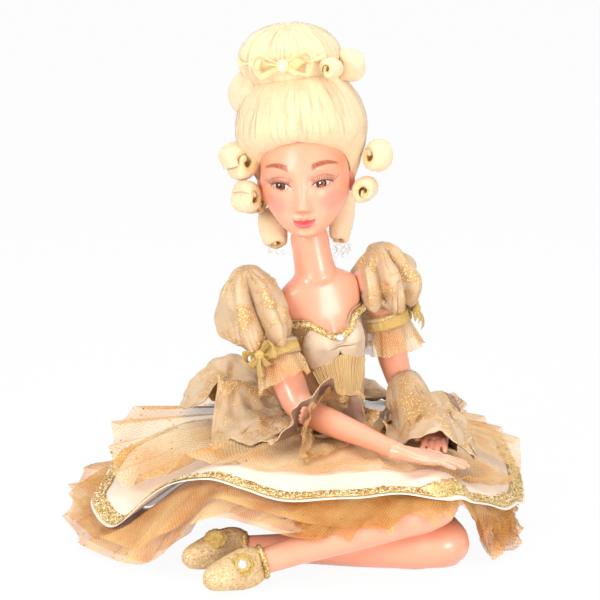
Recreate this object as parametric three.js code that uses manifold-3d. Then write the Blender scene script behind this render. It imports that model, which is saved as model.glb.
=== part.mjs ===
// A seated lady doll in court dress: moulded head, breastplate, arms and legs, a stuffed cloth body with a flat seat,
// a dressed wig and a layered costume. Millimetres, +Z up, +X to the viewer's right, the doll faces -Y.
// The origin is the middle of the seat, on the surface that the doll sits on.
import * as THREE from "three";
import { mergeVertices } from "three/addons/utils/BufferGeometryUtils.js";
import Module from "manifold-3d";

const wasm = await Module();
wasm.setup();

// Clearances and cloth
const SEAT_GAP = 0.35;
const CLOTH = 0.8;
const LAYER_GAP = 1.5;

// Stuffed body
const WAIST_HEIGHT = 57;
const WAIST_SHIFT = -1;
const LEAN_DEG = 10;
const TURN_DEG = 20;
const WAIST_HALF_WIDTH = 12.5;
const WAIST_HALF_DEPTH = 9.5;
const SEAT_HALF_WIDTH = 29;
const SEAT_HALF_DEPTH = 24;
const HIP_HALF_WIDTH = 34;
const HIP_HALF_DEPTH = 28;
const HIP_HEIGHT = 16;

// Breastplate, heights above the waist
const PLATE_BOTTOM = 29;
const BUST_HEIGHT = 50;
const BUST_HALF_WIDTH = 19.5;
const BUST_HALF_DEPTH = 14;
const BUST_SWELL = 7;
const BUST_SPACING = 9.5;
const SHOULDER_HEIGHT = 76;
const SHOULDER_HALF_WIDTH = 22;
const SHOULDER_TOP = SHOULDER_HEIGHT + 13;
const NECK_RADIUS = 11;
const NECK_TOP = SHOULDER_HEIGHT + 41;

// Shoulder pins
const PIN_RADIUS = 2.4;
const PIN_INNER_END = 12;
const PIN_OUTER_END = 33;
const PIN_CLEARANCE = 0.3;

// Arms
const SHOULDER_BALL_RADIUS = 10.2;
const SHOULDER_BALL_OFFSET = 31.5;
const UPPER_ARM_RADIUS = 9.6;
const UPPER_ARM_BOW = 2.2;
const ELBOW_RADIUS = 7.8;
const WRIST_RADIUS = 4.8;
const RIGHT_ELBOW = new THREE.Vector3(-27, -33, 75);
const RIGHT_WRIST = new THREE.Vector3(28, -83, 63);
const LEFT_ELBOW = new THREE.Vector3(32, 16, 77);
const LEFT_WRIST = new THREE.Vector3(50, -34, 66.5);
const PALM_LENGTH = 22;
const PALM_HALF_WIDTH = 7.6;
const PALM_HALF_THICKNESS = 3.4;
const FINGER_RADIUS = 1.9;
const FINGER_LENGTH = 17;

// Legs
const THIGH_RADIUS = 14;
const KNEE_RADIUS = 11.5;
const CALF_RADIUS = 10.4;
const ANKLE_RADIUS = 6.8;
const RIGHT_KNEE = new THREE.Vector3(52, -94, 38);
const RIGHT_ANKLE = new THREE.Vector3(-47, -117, 12);
const LEFT_KNEE = new THREE.Vector3(58, -84, KNEE_RADIUS - 0.4);
const LEFT_ANKLE = new THREE.Vector3(-57, -88, 11);
const SHOE_LENGTH = 42;
const SHOE_HALF_WIDTH = 9.6;
const SHOE_HALF_HEIGHT = 11;

// Head and wig, in the head's own coordinates with the eyes at height 0
const HEAD_OVER_NECK = new THREE.Vector3(-0.68, -1, 26.28);
const HEAD_TURN_DEG = -5;
const HEAD_TILT_DEG = 4.5;
const HEAD_NOD_DEG = 4;
const HEAD_HALF_WIDTH = 24.5;
const HEAD_HALF_DEPTH = 29;
const HEAD_HALF_HEIGHT = 34;
const NOSE_LENGTH = 7;
const HAIRLINE_HEIGHT = 23;
const HAIRLINE_HALF_WIDTH = 24.3;
const POUF_HALF_WIDTH = 36;
const POUF_HALF_DEPTH = 34;
const POUF_WIDEST = 27;
const BUN_CENTRE = new THREE.Vector3(-3.5, 4, 66);
const BUN_HALF_WIDTH = 28;
const BUN_HALF_DEPTH = 25;
const BUN_HALF_HEIGHT = 19;
const LOCK_THICKNESS = 4;
const LOCK_GAP = 1.2;
const CURL_TURNS = 1.3;

// Skirts, heights above the floor
const SKIRT_TOP = WAIST_HEIGHT + 3;
const SKIRT_FALL = 1.8;
const HEM_BAND_WIDTH = 6.5;
const HEM_MARGIN = 1.6;
const SKIRT_SPREAD = 1;

const rad = THREE.MathUtils.degToRad;
const clamp = THREE.MathUtils.clamp;
const lerp = THREE.MathUtils.lerp;
const V = (x, y, z) => new THREE.Vector3(x, y, z);
const bump = (x, width) => Math.exp(-((x / width) ** 2));
const rise = (x, from, to) => THREE.MathUtils.smoothstep(x, from, to);
const above = (a, b, softness) => (a + b + Math.hypot(a - b, softness)) / 2;
const steps = (count, from, to) => Array.from({ length: count + 1 }, (_, i) => lerp(from, to, i / count));
const circle = (count) => steps(count, 0, 2 * Math.PI).slice(0, count);

// A smooth curve through [place, value] stops, as a function of the place.
function through(stops) {
  const slope = stops.map((stop, i) => {
    const before = stops[Math.max(i - 1, 0)];
    const after = stops[Math.min(i + 1, stops.length - 1)];
    return (after[1] - before[1]) / (after[0] - before[0]);
  });
  return (place) => {
    const at = clamp(place, stops[0][0], stops[stops.length - 1][0]);
    const i = Math.max(stops.findIndex((stop) => at <= stop[0]), 1);
    const [x0, y0] = stops[i - 1];
    const [x1, y1] = stops[i];
    const t = (at - x0) / (x1 - x0);
    const bend = (x1 - x0) * t * (1 - t);
    return lerp(y0, y1, t * t * (3 - 2 * t)) + bend * (slope[i - 1] * (1 - t) - slope[i] * t);
  };
}

// A closed body from points and faces, with its faces turned outwards.
function closedBody(points, faces) {
  let volume = 0;
  for (let i = 0; i < faces.length; i += 3) {
    const [a, b, c] = [points[faces[i]], points[faces[i + 1]], points[faces[i + 2]]];
    volume += a.dot(V(0, 0, 0).crossVectors(b, c));
  }
  const geometry = new THREE.BufferGeometry().setFromPoints(points);
  return geometry.setIndex(volume < 0 ? faces.slice().reverse() : faces);
}

// The two triangles of a grid's cell.
function cell(faces, a, b, c, d) {
  faces.push(a, b, d, a, d, c);
}

// A solid through rings of points, its ends closed onto their middles.
function lofted(rings) {
  const around = rings[0].length;
  const points = rings.flat();
  const faces = [];
  for (let i = 0; i + 1 < rings.length; i++)
    for (let j = 0; j < around; j++) {
      const a = i * around + j;
      const b = i * around + ((j + 1) % around);
      cell(faces, a, b, a + around, b + around);
    }
  for (const end of [0, rings.length - 1]) {
    const middle = rings[end].reduce((sum, p) => sum.add(p), V(0, 0, 0)).divideScalar(around);
    points.push(middle);
    for (let j = 0; j < around; j++) {
      const a = end * around + j;
      const b = end * around + ((j + 1) % around);
      faces.push(...(end ? [a, b, points.length - 1] : [b, a, points.length - 1]));
    }
  }
  return closedBody(points, faces);
}

// A sheet with a thickness, from the grids of its two faces. A round sheet closes on itself along each row.
function sheet(front, back, round) {
  const rows = front.length;
  const columns = front[0].length;
  const points = [...front.flat(), ...back.flat()];
  const other = rows * columns;
  const faces = [];
  for (let i = 0; i < rows; i++)
    for (let j = 0; j < columns; j++) {
      const next = (j + 1) % columns;
      if (!round && j === columns - 1) continue;
      const a = i * columns + j;
      const b = i * columns + next;
      if (i + 1 < rows) {
        cell(faces, a, b, a + columns, b + columns);
        faces.push(a + other, b + columns + other, b + other);
        faces.push(a + other, a + columns + other, b + columns + other);
      }
      if (i === 0) cell(faces, b, a, b + other, a + other);
      if (i === rows - 1) cell(faces, a, b, a + other, b + other);
    }
  if (!round)
    for (let i = 0; i + 1 < rows; i++) {
      const a = i * columns;
      const z = a + columns - 1;
      cell(faces, a, a + columns, a + other, a + columns + other);
      cell(faces, z + columns, z, z + columns + other, z + other);
    }
  return closedBody(points, faces);
}

function solidOf(geometry) {
  const bare = geometry.clone();
  bare.deleteAttribute("normal");
  bare.deleteAttribute("uv");
  const merged = mergeVertices(bare, 1e-4);
  const triVerts = new Uint32Array(merged.index.array);
  return new wasm.Manifold(new wasm.Mesh({ numProp: 3, vertProperties: merged.attributes.position.array, triVerts }));
}

function geometryOf(solid) {
  const { vertProperties, triVerts } = solid.getMesh();
  const geometry = new THREE.BufferGeometry();
  geometry.setAttribute("position", new THREE.BufferAttribute(new Float32Array(vertProperties), 3));
  return geometry.setIndex(new THREE.BufferAttribute(new Uint32Array(triVerts), 1));
}

// Joined and cut bodies lose the facets that are smaller than a tolerance.
const FACET_TOLERANCE = 0.06;
const tidied = (solid) => geometryOf(solid.asOriginal().simplify(FACET_TOLERANCE));
const joined = (...parts) => tidied(parts.map(solidOf).reduce((all, one) => all.add(one)));
const cutBy = (body, ...tools) => tidied(tools.map(solidOf).reduce((left, tool) => left.subtract(tool), solidOf(body)));

// The largest single piece of a cut body, without loose slivers.
function mainPiece(geometry) {
  const pieces = solidOf(geometry).decompose();
  return geometryOf(pieces.reduce((most, one) => (one.volume() > most.volume() ? one : most)));
}

const finish = (color, roughness, metalness = 0) => new THREE.MeshStandardMaterial({ color, roughness, metalness });
const skin = finish(0xf0b48c, 0.3);
const cotton = finish(0xe8dcc8, 0.9);
const brocade = finish(0xc9ad7c, 0.55, 0.1);
const satin = finish(0xf6eedd, 0.35);
const net = finish(0xdcc08a, 0.8);
const glitter = finish(0xb8973f, 0.35, 0.7);
const goldMesh = finish(0xd8b24a, 0.4, 0.6);
const wool = finish(0xfbe7ae, 0.75);
const cream = finish(0xfae9a8, 0.35);
const pearl = finish(0xf4eee0, 0.2);
const stone = finish(0xe9e6e0, 0.1, 0.2);
const steel = finish(0x9a9a9a, 0.4, 0.9);

const doll = new THREE.Group();
function place(name, geometry, material) {
  const mesh = new THREE.Mesh(geometry, material);
  mesh.name = name;
  doll.add(mesh);
  return mesh;
}

// The frame of the leaning, turned torso: x to the doll's left, y to its back, z up from the waist.
const torsoFrame = new THREE.Matrix4()
  .makeTranslation(WAIST_SHIFT, 0, WAIST_HEIGHT)
  .multiply(new THREE.Matrix4().makeRotationY(-rad(LEAN_DEG)))
  .multiply(new THREE.Matrix4().makeRotationZ(rad(TURN_DEG)));
const onTorso = (x, y, z) => V(x, y, z).applyMatrix4(torsoFrame);
const inTorso = (point) => point.clone().applyMatrix4(torsoFrame.clone().invert());
const torsoAcross = V(1, 0, 0).transformDirection(torsoFrame);
const torsoBack = V(0, 1, 0).transformDirection(torsoFrame);
const torsoUp = V(0, 0, 1).transformDirection(torsoFrame);

const torsoHalfWidth = through([
  [0, WAIST_HALF_WIDTH],
  [14, WAIST_HALF_WIDTH + 0.8],
  [PLATE_BOTTOM, (WAIST_HALF_WIDTH + BUST_HALF_WIDTH) / 2 + 0.6],
  [BUST_HEIGHT, BUST_HALF_WIDTH],
  [SHOULDER_HEIGHT - 12, BUST_HALF_WIDTH],
  [SHOULDER_HEIGHT - 8, SHOULDER_HALF_WIDTH + 1],
  [SHOULDER_HEIGHT + 5, SHOULDER_HALF_WIDTH + 1],
  [SHOULDER_TOP, NECK_RADIUS + 1],
]);
const torsoHalfDepth = through([
  [0, WAIST_HALF_DEPTH],
  [14, WAIST_HALF_DEPTH + 0.5],
  [PLATE_BOTTOM, WAIST_HALF_DEPTH + 2],
  [BUST_HEIGHT, BUST_HALF_DEPTH],
  [SHOULDER_HEIGHT - 8, BUST_HALF_DEPTH - 1],
  [SHOULDER_HEIGHT + 5, NECK_RADIUS + 0.5],
  [SHOULDER_TOP, NECK_RADIUS - 1],
]);
const bustSwell = (x, z) =>
  BUST_SWELL * (bump(x - BUST_SPACING, 7) + bump(x + BUST_SPACING, 7)) * bump(z - BUST_HEIGHT, z > BUST_HEIGHT ? 13 : 9);

// A point on the torso's skin at an angle round it, or a distance outside the skin.
function torsoSkin(angle, z, out = 0) {
  const x = Math.cos(angle) * (torsoHalfWidth(z) + out);
  const y = Math.sin(angle) * (torsoHalfDepth(z) + out);
  const swell = Math.sin(angle) < 0 ? bustSwell(x, z) * -Math.sin(angle) : 0;
  return onTorso(clamp(x, -SHOULDER_HALF_WIDTH, SHOULDER_HALF_WIDTH), y - swell, z);
}

// Stuffed cloth body: a sack swelling at the hips, flat where it sits, up to under the bust.
const hipWidth = through([
  [0, SEAT_HALF_WIDTH],
  [HIP_HEIGHT, HIP_HALF_WIDTH],
  [35, HIP_HALF_WIDTH - 8],
  [48, WAIST_HALF_WIDTH + 4],
  [WAIST_HEIGHT, WAIST_HALF_WIDTH],
]);
const hipDepth = through([
  [0, SEAT_HALF_DEPTH],
  [HIP_HEIGHT, HIP_HALF_DEPTH],
  [35, HIP_HALF_DEPTH - 6],
  [48, WAIST_HALF_DEPTH + 4],
  [WAIST_HEIGHT, WAIST_HALF_DEPTH],
]);
function hipRing(height, out = 0) {
  const share = height / WAIST_HEIGHT;
  const frame = new THREE.Matrix4()
    .makeTranslation(WAIST_SHIFT * share, 0, height)
    .multiply(new THREE.Matrix4().makeRotationY(-rad(LEAN_DEG) * share * share))
    .multiply(new THREE.Matrix4().makeRotationZ(rad(TURN_DEG)));
  return circle(24).map((a) =>
    V(Math.cos(a) * (hipWidth(height) + out), Math.sin(a) * (hipDepth(height) + out), 0).applyMatrix4(frame));
}
const bodySack = (out) =>
  lofted([
    ...[0, 5, HIP_HEIGHT, 27, 38, 48].map((height) => hipRing(height, out)),
    ...[0, 10, 20, PLATE_BOTTOM - SEAT_GAP].map((z) => circle(24).map((a) => torsoSkin(a, z, out))),
  ]);
place("cloth_body", bodySack(0), cotton);

// Neck: a turned post that leans with the torso, with a domed top that the head turns on.
function neckPost(out) {
  const r = NECK_RADIUS + out;
  const top = NECK_TOP + out;
  const profile = [
    [0, SHOULDER_HEIGHT + 4], [r - 1, SHOULDER_HEIGHT + 4], [r + 1.2, SHOULDER_HEIGHT + 11], [r, SHOULDER_HEIGHT + 18],
    [r - 0.4, SHOULDER_HEIGHT + 26], [r - 0.4, NECK_TOP - 7], [r - 2.2, NECK_TOP - 3], [r - 6, top - 0.5], [0, top],
  ];
  return new THREE.LatheGeometry(profile.map(([x, y]) => new THREE.Vector2(x, y)), 16)
    .rotateX(Math.PI / 2)
    .applyMatrix4(torsoFrame);
}
function shoulderPin(side, out) {
  const inner = PIN_INNER_END - out;
  const outer = PIN_OUTER_END + out;
  return new THREE.CylinderGeometry(PIN_RADIUS + out, PIN_RADIUS + out, outer - inner, 12)
    .rotateZ(Math.PI / 2)
    .translate((side * (inner + outer)) / 2, 0, SHOULDER_HEIGHT)
    .applyMatrix4(torsoFrame);
}
const plateHeights = [
  PLATE_BOTTOM, 36, 43, BUST_HEIGHT, SHOULDER_HEIGHT - 19, SHOULDER_HEIGHT - 12, SHOULDER_HEIGHT - 7,
  SHOULDER_HEIGHT, SHOULDER_HEIGHT + 6, SHOULDER_TOP,
];
const plate = lofted(plateHeights.map((z) => circle(24).map((a) => torsoSkin(a, z))));
const pinBores = [-1, 1].map((side) => shoulderPin(side, PIN_CLEARANCE));
place("breastplate", cutBy(joined(plate, neckPost(0)), ...pinBores), skin);
place("right_shoulder_pin", shoulderPin(-1, 0), steel);
place("left_shoulder_pin", shoulderPin(1, 0), steel);

// Bodice: a close shell over the sack and the breastplate, cut to a V at the front.
const FRONT = 1.5 * Math.PI;
const BODICE_BOTTOM = 4.5;
const BODICE_THICKNESS = 1.2;
const NECKLINE_DIP = BUST_HEIGHT + 6;
const NECKLINE_SIDE = SHOULDER_HEIGHT - 10;
const neckline = (angle) => lerp(NECKLINE_DIP, NECKLINE_SIDE, rise(Math.abs(angle - FRONT), 0, 0.75));
const bodiceRows = [0, 0.24, 0.48, 0.66, 0.82, 1];
const bodiceFace = (out, count) =>
  bodiceRows.map((v) => circle(count).map((a) => torsoSkin(a, lerp(BODICE_BOTTOM, neckline(a), v), out)));
const bodiceIn = SEAT_GAP + 1.05;
const bodiceOut = bodiceIn + BODICE_THICKNESS;
place("bodice", sheet(bodiceFace(bodiceOut, 24), bodiceFace(bodiceIn, 24), true), brocade);

// Fan of pleats on the bodice's front, spreading upwards from the waist.
const PLEATS = 12;
const PLEAT_DEPTH = 0.8;
const pleatFace = (out) =>
  steps(2, 7, 40).map((z) =>
    steps(PLEATS * 2, -1, 1).map((side, i) =>
      torsoSkin(FRONT + side * lerp(0.42, 0.85, (z - 7) / 33), z, out + (i % 2) * PLEAT_DEPTH)));
const pleatOut = bodiceOut + 0.8;
place("bodice_pleats", sheet(pleatFace(pleatOut + 0.7), pleatFace(pleatOut), false), goldMesh);

// A round cord through points, for trims.
function roundCord(points, radius, sides, stepCount, closed = false) {
  const route = new THREE.CatmullRomCurve3(points, closed);
  const outline = new THREE.Shape(circle(sides).map((a) => new THREE.Vector2(radius * Math.cos(a), radius * Math.sin(a))));
  return new THREE.ExtrudeGeometry(outline, { steps: stepCount, extrudePath: route, bevelEnabled: false });
}
const TRIM_RADIUS = 1.6;
const trimPoints = circle(40).map((a) => torsoSkin(a, neckline(a) - TRIM_RADIUS - 0.5, bodiceOut + TRIM_RADIUS + 1));
const trimSides = (point) => Math.abs(inTorso(point).x) < SHOULDER_HALF_WIDTH - TRIM_RADIUS;
const frontTrim = trimPoints.filter((point) => trimSides(point) && inTorso(point).y < 0);
place("neckline_trim", roundCord(frontTrim, TRIM_RADIUS, 6, 20), glitter);

// A faceted round stone set in front of a place on a body.
function gem(radius, height, centre, facing) {
  const profile = [[0, 0], [radius, 0], [radius, height * 0.3], [radius * 0.55, height], [0, height]];
  const turn = new THREE.Quaternion().setFromUnitVectors(V(0, 1, 0), facing.clone().normalize());
  return new THREE.LatheGeometry(profile.map(([x, y]) => new THREE.Vector2(x, y)), 8)
    .applyQuaternion(turn)
    .translate(centre.x, centre.y, centre.z);
}
const stoneSeat = torsoSkin(FRONT, NECKLINE_DIP - TRIM_RADIUS - 0.5, bodiceOut + 2 * TRIM_RADIUS + 1 + SEAT_GAP + 0.2);
place("neckline_stone", gem(2, 1.6, stoneSeat, torsoBack.clone().negate()), stone);

// Limbs are tapered tubes along a path that bends in one plane.
const pathOf = (points) => new THREE.CatmullRomCurve3(points, false, "centripetal");
function bentPath(start, bend, end, round) {
  const before = bend.clone().lerp(start, round);
  const after = bend.clone().lerp(end, round);
  const inner = bend.clone().lerp(before.clone().lerp(after, 0.5), 0.35);
  return pathOf([start, start.clone().lerp(before, 0.5), before, inner, after, after.clone().lerp(end, 0.5), end]);
}
function limb(path, radius, count, sides, out = 0, squash = 1) {
  const ends = [path.getPointAt(0), path.getPointAt(0.5), path.getPointAt(1)];
  const normal = ends[1].clone().sub(ends[0]).cross(ends[2].clone().sub(ends[1])).normalize();
  return lofted(
    steps(count, 0, 1).map((u) => {
      const across = path.getTangentAt(u).cross(normal).normalize();
      const r = radius(u) + out;
      return circle(sides).map((a) =>
        path.getPointAt(u).addScaledVector(across, r * Math.cos(a)).addScaledVector(normal, r * squash * Math.sin(a)));
    }));
}

// Legs: thigh, round knee, calf and ankle in one casting.
const legRadius = through([
  [0, THIGH_RADIUS],
  [0.3, THIGH_RADIUS - 0.5],
  [0.5, KNEE_RADIUS],
  [0.56, KNEE_RADIUS],
  [0.7, CALF_RADIUS],
  [0.88, ANKLE_RADIUS + 1],
  [1, ANKLE_RADIUS],
]);
const hipAt = (side) => V(side * 15, -12 + side * 5, HIP_HEIGHT + 4).applyAxisAngle(V(0, 0, 1), rad(TURN_DEG));
const rightLegPath = bentPath(hipAt(-1), RIGHT_KNEE, RIGHT_ANKLE, 0.16);
const leftLegPath = bentPath(hipAt(1), LEFT_KNEE, LEFT_ANKLE, 0.16);
const floorCut = new THREE.BoxGeometry(400, 400, 20).translate(0, 0, -10);
const legOf = (path, out) => limb(path, legRadius, 14, 12, out);

// Slippers, lying on their sides, with the ankle standing in them.
function shoe(ankle, toeward, out) {
  const heel = ankle.clone().addScaledVector(toeward, -SHOE_LENGTH * 0.22);
  const height = through([[0, 4], [0.12, SHOE_HALF_HEIGHT - 2], [0.35, SHOE_HALF_HEIGHT], [0.7, SHOE_HALF_HEIGHT - 3], [0.93, 5.5], [1, 2.5]]);
  const width = through([[0, 3.5], [0.12, SHOE_HALF_WIDTH - 2.5], [0.35, SHOE_HALF_WIDTH - 1], [0.68, SHOE_HALF_WIDTH], [0.93, 5.5], [1, 2.5]]);
  const across = V(0, 0, 1).cross(toeward).normalize();
  const up = toeward.clone().cross(across);
  return lofted(
    [0, 0.05, 0.15, 0.35, 0.55, 0.75, 0.92, 1].map((u) => {
      const centre = heel.clone().addScaledVector(toeward, SHOE_LENGTH * u);
      return circle(12).map((a) =>
        centre.clone()
          .addScaledVector(across, (width(u) + out) * Math.cos(a))
          .addScaledVector(up, (height(u) + out) * Math.sin(a)));
    }));
}
const RIGHT_TOE_DIRECTION = V(-0.72, -0.69, -0.04).normalize();
const LEFT_TOE_DIRECTION = V(-0.8, -0.6, -0.05).normalize();
const rightShoeAt = V(RIGHT_ANKLE.x - 3, RIGHT_ANKLE.y - 1, SHOE_HALF_HEIGHT - 0.2);
const leftShoeAt = V(LEFT_ANKLE.x - 3, LEFT_ANKLE.y, SHOE_HALF_HEIGHT + 1.5);
const shoeOf = (side, out) =>
  side < 0 ? shoe(rightShoeAt, RIGHT_TOE_DIRECTION, out) : shoe(leftShoeAt, LEFT_TOE_DIRECTION, out);
const rightLeg = cutBy(legOf(rightLegPath, 0), bodySack(SEAT_GAP), floorCut);
const leftLeg = cutBy(legOf(leftLegPath, 0), bodySack(SEAT_GAP), floorCut, legOf(rightLegPath, SEAT_GAP));
place("right_leg", mainPiece(rightLeg), skin);
place("left_leg", mainPiece(leftLeg), skin);
const rightShoe = cutBy(shoeOf(-1, 0), legOf(rightLegPath, SEAT_GAP), legOf(leftLegPath, SEAT_GAP), floorCut);
const leftShoe = cutBy(shoeOf(1, 0), legOf(leftLegPath, SEAT_GAP), legOf(rightLegPath, SEAT_GAP), shoeOf(-1, SEAT_GAP), floorCut);
place("right_shoe", mainPiece(rightShoe), brocade);
place("left_shoe", mainPiece(leftShoe), brocade);

// Lace rosettes: scalloped discs on the slippers, with a stone on the right one.
function rosette(radius, thickness, petals, centre, facing) {
  const outline = new THREE.Shape(
    circle(petals * 3).map((a) => {
      const r = radius * (1 + 0.16 * Math.cos(petals * a));
      return new THREE.Vector2(r * Math.cos(a), r * Math.sin(a));
    }));
  const turn = new THREE.Quaternion().setFromUnitVectors(V(0, 0, 1), facing);
  return new THREE.ExtrudeGeometry(outline, { depth: thickness, bevelEnabled: false })
    .applyQuaternion(turn)
    .translate(centre.x, centre.y, centre.z);
}
const ROSETTE_RADIUS = 5;
const ROSETTE_THICKNESS = 1.4;
const rosetteFacing = V(0.1, -0.86, 0.5).normalize();
const rightRosetteAt = rightShoeAt.clone().addScaledVector(RIGHT_TOE_DIRECTION, SHOE_LENGTH * 0.2)
  .addScaledVector(rosetteFacing, SHOE_HALF_HEIGHT - 0.6);
const leftRosetteAt = leftShoeAt.clone().addScaledVector(LEFT_TOE_DIRECTION, SHOE_LENGTH * 0.26)
  .addScaledVector(V(-0.1, -0.6, 0.8).normalize(), SHOE_HALF_HEIGHT - 1.6);
const seatedRosette = (side, centre, facing) =>
  mainPiece(cutBy(rosette(ROSETTE_RADIUS, ROSETTE_THICKNESS + 2.4, 6, centre, facing), shoeOf(side, SEAT_GAP)));
place("right_shoe_rosette", seatedRosette(-1, rightRosetteAt.clone().addScaledVector(rosetteFacing, -2), rosetteFacing), glitter);
const leftRosetteFacing = V(-0.1, -0.6, 0.8).normalize();
place("left_shoe_rosette", seatedRosette(1, leftRosetteAt.clone().addScaledVector(leftRosetteFacing, -2), leftRosetteFacing), glitter);
const shoeStoneAt = rightRosetteAt.clone().addScaledVector(rosetteFacing, ROSETTE_THICKNESS + 0.4 + SEAT_GAP);
place("right_shoe_stone", gem(2.4, 1.8, shoeStoneAt, rosetteFacing), stone);

// Arms: a shoulder ball cut flat at the armhole, a tapered arm, a flat palm and curved fingers.
const shoulderAt = (side) => onTorso(side * SHOULDER_BALL_OFFSET, 0, SHOULDER_HEIGHT);
function armPath(side, elbow, wrist) {
  const shoulder = shoulderAt(side);
  const path = bentPath(shoulder, elbow, wrist, 0.24);
  path.points[1].addScaledVector(torsoAcross, side * UPPER_ARM_BOW);
  return path;
}
const armPaths = { "-1": armPath(-1, RIGHT_ELBOW, RIGHT_WRIST), 1: armPath(1, LEFT_ELBOW, LEFT_WRIST) };
const armRadius = through([
  [0, UPPER_ARM_RADIUS - 0.8],
  [0.22, UPPER_ARM_RADIUS],
  [0.4, ELBOW_RADIUS + 0.9],
  [0.5, ELBOW_RADIUS],
  [0.66, ELBOW_RADIUS - 0.5],
  [0.88, WRIST_RADIUS + 0.5],
  [1, WRIST_RADIUS],
]);
function ballAt(side, out) {
  const at = shoulderAt(side);
  return new THREE.SphereGeometry(SHOULDER_BALL_RADIUS + out, 12, 8).translate(at.x, at.y, at.z);
}
const armCore = (side, out) => joined(ballAt(side, out), limb(armPaths[side], armRadius, 12, 10, out));
const armRoom = (side) => joined(ballAt(side, SEAT_GAP), limb(armPaths[side], armRadius, 7, 8, SEAT_GAP + 0.9));
function armholeCut(side) {
  const size = 60;
  return new THREE.BoxGeometry(size, size, size)
    .translate(side * (SHOULDER_HALF_WIDTH + SEAT_GAP - size / 2), 0, SHOULDER_HEIGHT)
    .applyMatrix4(torsoFrame);
}
// A flat hand: palm from the wrist, four fingers side by side and a thumb on one side.
function hand(wrist, reach, tip, thumbSide) {
  const along = reach.clone().sub(wrist).normalize();
  const across = V(0, 0, 1).cross(along).normalize();
  const up = along.clone().cross(across);
  const palmWidth = through([[0, WRIST_RADIUS], [0.4, PALM_HALF_WIDTH - 0.8], [0.85, PALM_HALF_WIDTH], [1, PALM_HALF_WIDTH - 1.2]]);
  const palmDepth = through([[0, WRIST_RADIUS - 0.6], [0.4, PALM_HALF_THICKNESS + 0.4], [1, PALM_HALF_THICKNESS - 0.8]]);
  const palm = lofted(
    [-0.12, 0.15, 0.4, 0.65, 0.88, 1].map((u) =>
      circle(8).map((a) =>
        wrist.clone()
          .addScaledVector(along, PALM_LENGTH * u)
          .addScaledVector(across, palmWidth(u) * Math.cos(a))
          .addScaledVector(up, palmDepth(u) * Math.sin(a)))));
  const fingers = [0.86, 1, 0.96, 0.78].map((length, i) => {
    const side = (i - 1.5) * FINGER_RADIUS * 1.9 * -thumbSide;
    const base = wrist.clone().addScaledVector(along, PALM_LENGTH * 0.84).addScaledVector(across, side);
    const bendDirection = tip.clone().sub(reach).normalize().addScaledVector(across, side * 0.012);
    const middle = base.clone().addScaledVector(along, FINGER_LENGTH * 0.55 * length);
    const end = middle.clone().addScaledVector(bendDirection, FINGER_LENGTH * 0.6 * length);
    const route = pathOf([base, middle, end.clone().addScaledVector(up, -0.01)]);
    return limb(route, through([[0, FINGER_RADIUS], [0.8, FINGER_RADIUS - 0.3], [1, FINGER_RADIUS - 0.9]]), 3, 6);
  });
  const thumbBase = wrist.clone().addScaledVector(along, PALM_LENGTH * 0.3).addScaledVector(across, thumbSide * 4);
  const thumbEnd = wrist.clone().addScaledVector(along, PALM_LENGTH * 0.95).addScaledVector(across, thumbSide * 10.5);
  const thumbBend = thumbBase.clone().lerp(thumbEnd, 0.55).addScaledVector(across, thumbSide * 1.6);
  const thumb = limb(pathOf([thumbBase, thumbBend, thumbEnd]), through([[0, 2.8], [0.8, 2.1], [1, 1.3]]), 3, 6);
  return joined(palm, ...fingers, thumb);
}
const RIGHT_HAND_REACH = V(0.93, -0.35, -0.1);
const RIGHT_FINGER_REACH = V(0.93, -0.33, -0.16);
const LEFT_HAND_REACH = V(-0.08, -0.97, -0.22);
const LEFT_FINGER_REACH = V(-0.2, -0.95, -0.22);
const handAt = (wrist, palmReach, fingerReach, thumbSide) =>
  hand(wrist, wrist.clone().addScaledVector(palmReach, PALM_LENGTH),
    wrist.clone().addScaledVector(palmReach, PALM_LENGTH).addScaledVector(fingerReach, FINGER_LENGTH), thumbSide);
const rightHand = handAt(RIGHT_WRIST, RIGHT_HAND_REACH, RIGHT_FINGER_REACH, 1);
const leftHand = handAt(LEFT_WRIST, LEFT_HAND_REACH, LEFT_FINGER_REACH, -1);
const rightArm = cutBy(joined(armCore(-1, 0), rightHand), armholeCut(-1), shoulderPin(-1, PIN_CLEARANCE));
const leftArm = cutBy(joined(armCore(1, 0), leftHand), armholeCut(1), shoulderPin(1, PIN_CLEARANCE));
place("right_arm", rightArm, skin);
place("left_arm", leftArm, skin);

// Puff sleeves: a fluted puff, flat against the armhole and drawn in to a band on the upper arm.
const BAND_RADIUS = 14.5;
const BAND_HEIGHT = 8;
const BAND_PLACE = 0.2;
const FLUTES = 8;
const puffs = {
  "-1": { centre: onTorso(-40, -1, SHOULDER_HEIGHT - 1), across: 17.5, back: 21, top: 25 },
  1: { centre: onTorso(39, 0, SHOULDER_HEIGHT - 3), across: 16.5, back: 20, top: 21.5 },
};
function armFrame(side, u) {
  const path = armPaths[side];
  const along = path.getTangentAt(u);
  const across = torsoAcross.clone().addScaledVector(along, -torsoAcross.dot(along)).normalize();
  return { centre: path.getPointAt(u), along, across, back: along.clone().cross(across) };
}
const bandAt = (side) => armFrame(side, BAND_PLACE);
function pushedOut(side, point, inset = 0) {
  const inside = inTorso(point);
  const limit = SHOULDER_HALF_WIDTH + SEAT_GAP + 0.15 + inset;
  if (side * inside.x < limit) inside.x = side * limit;
  return onTorso(inside.x, inside.y, inside.z);
}
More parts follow.
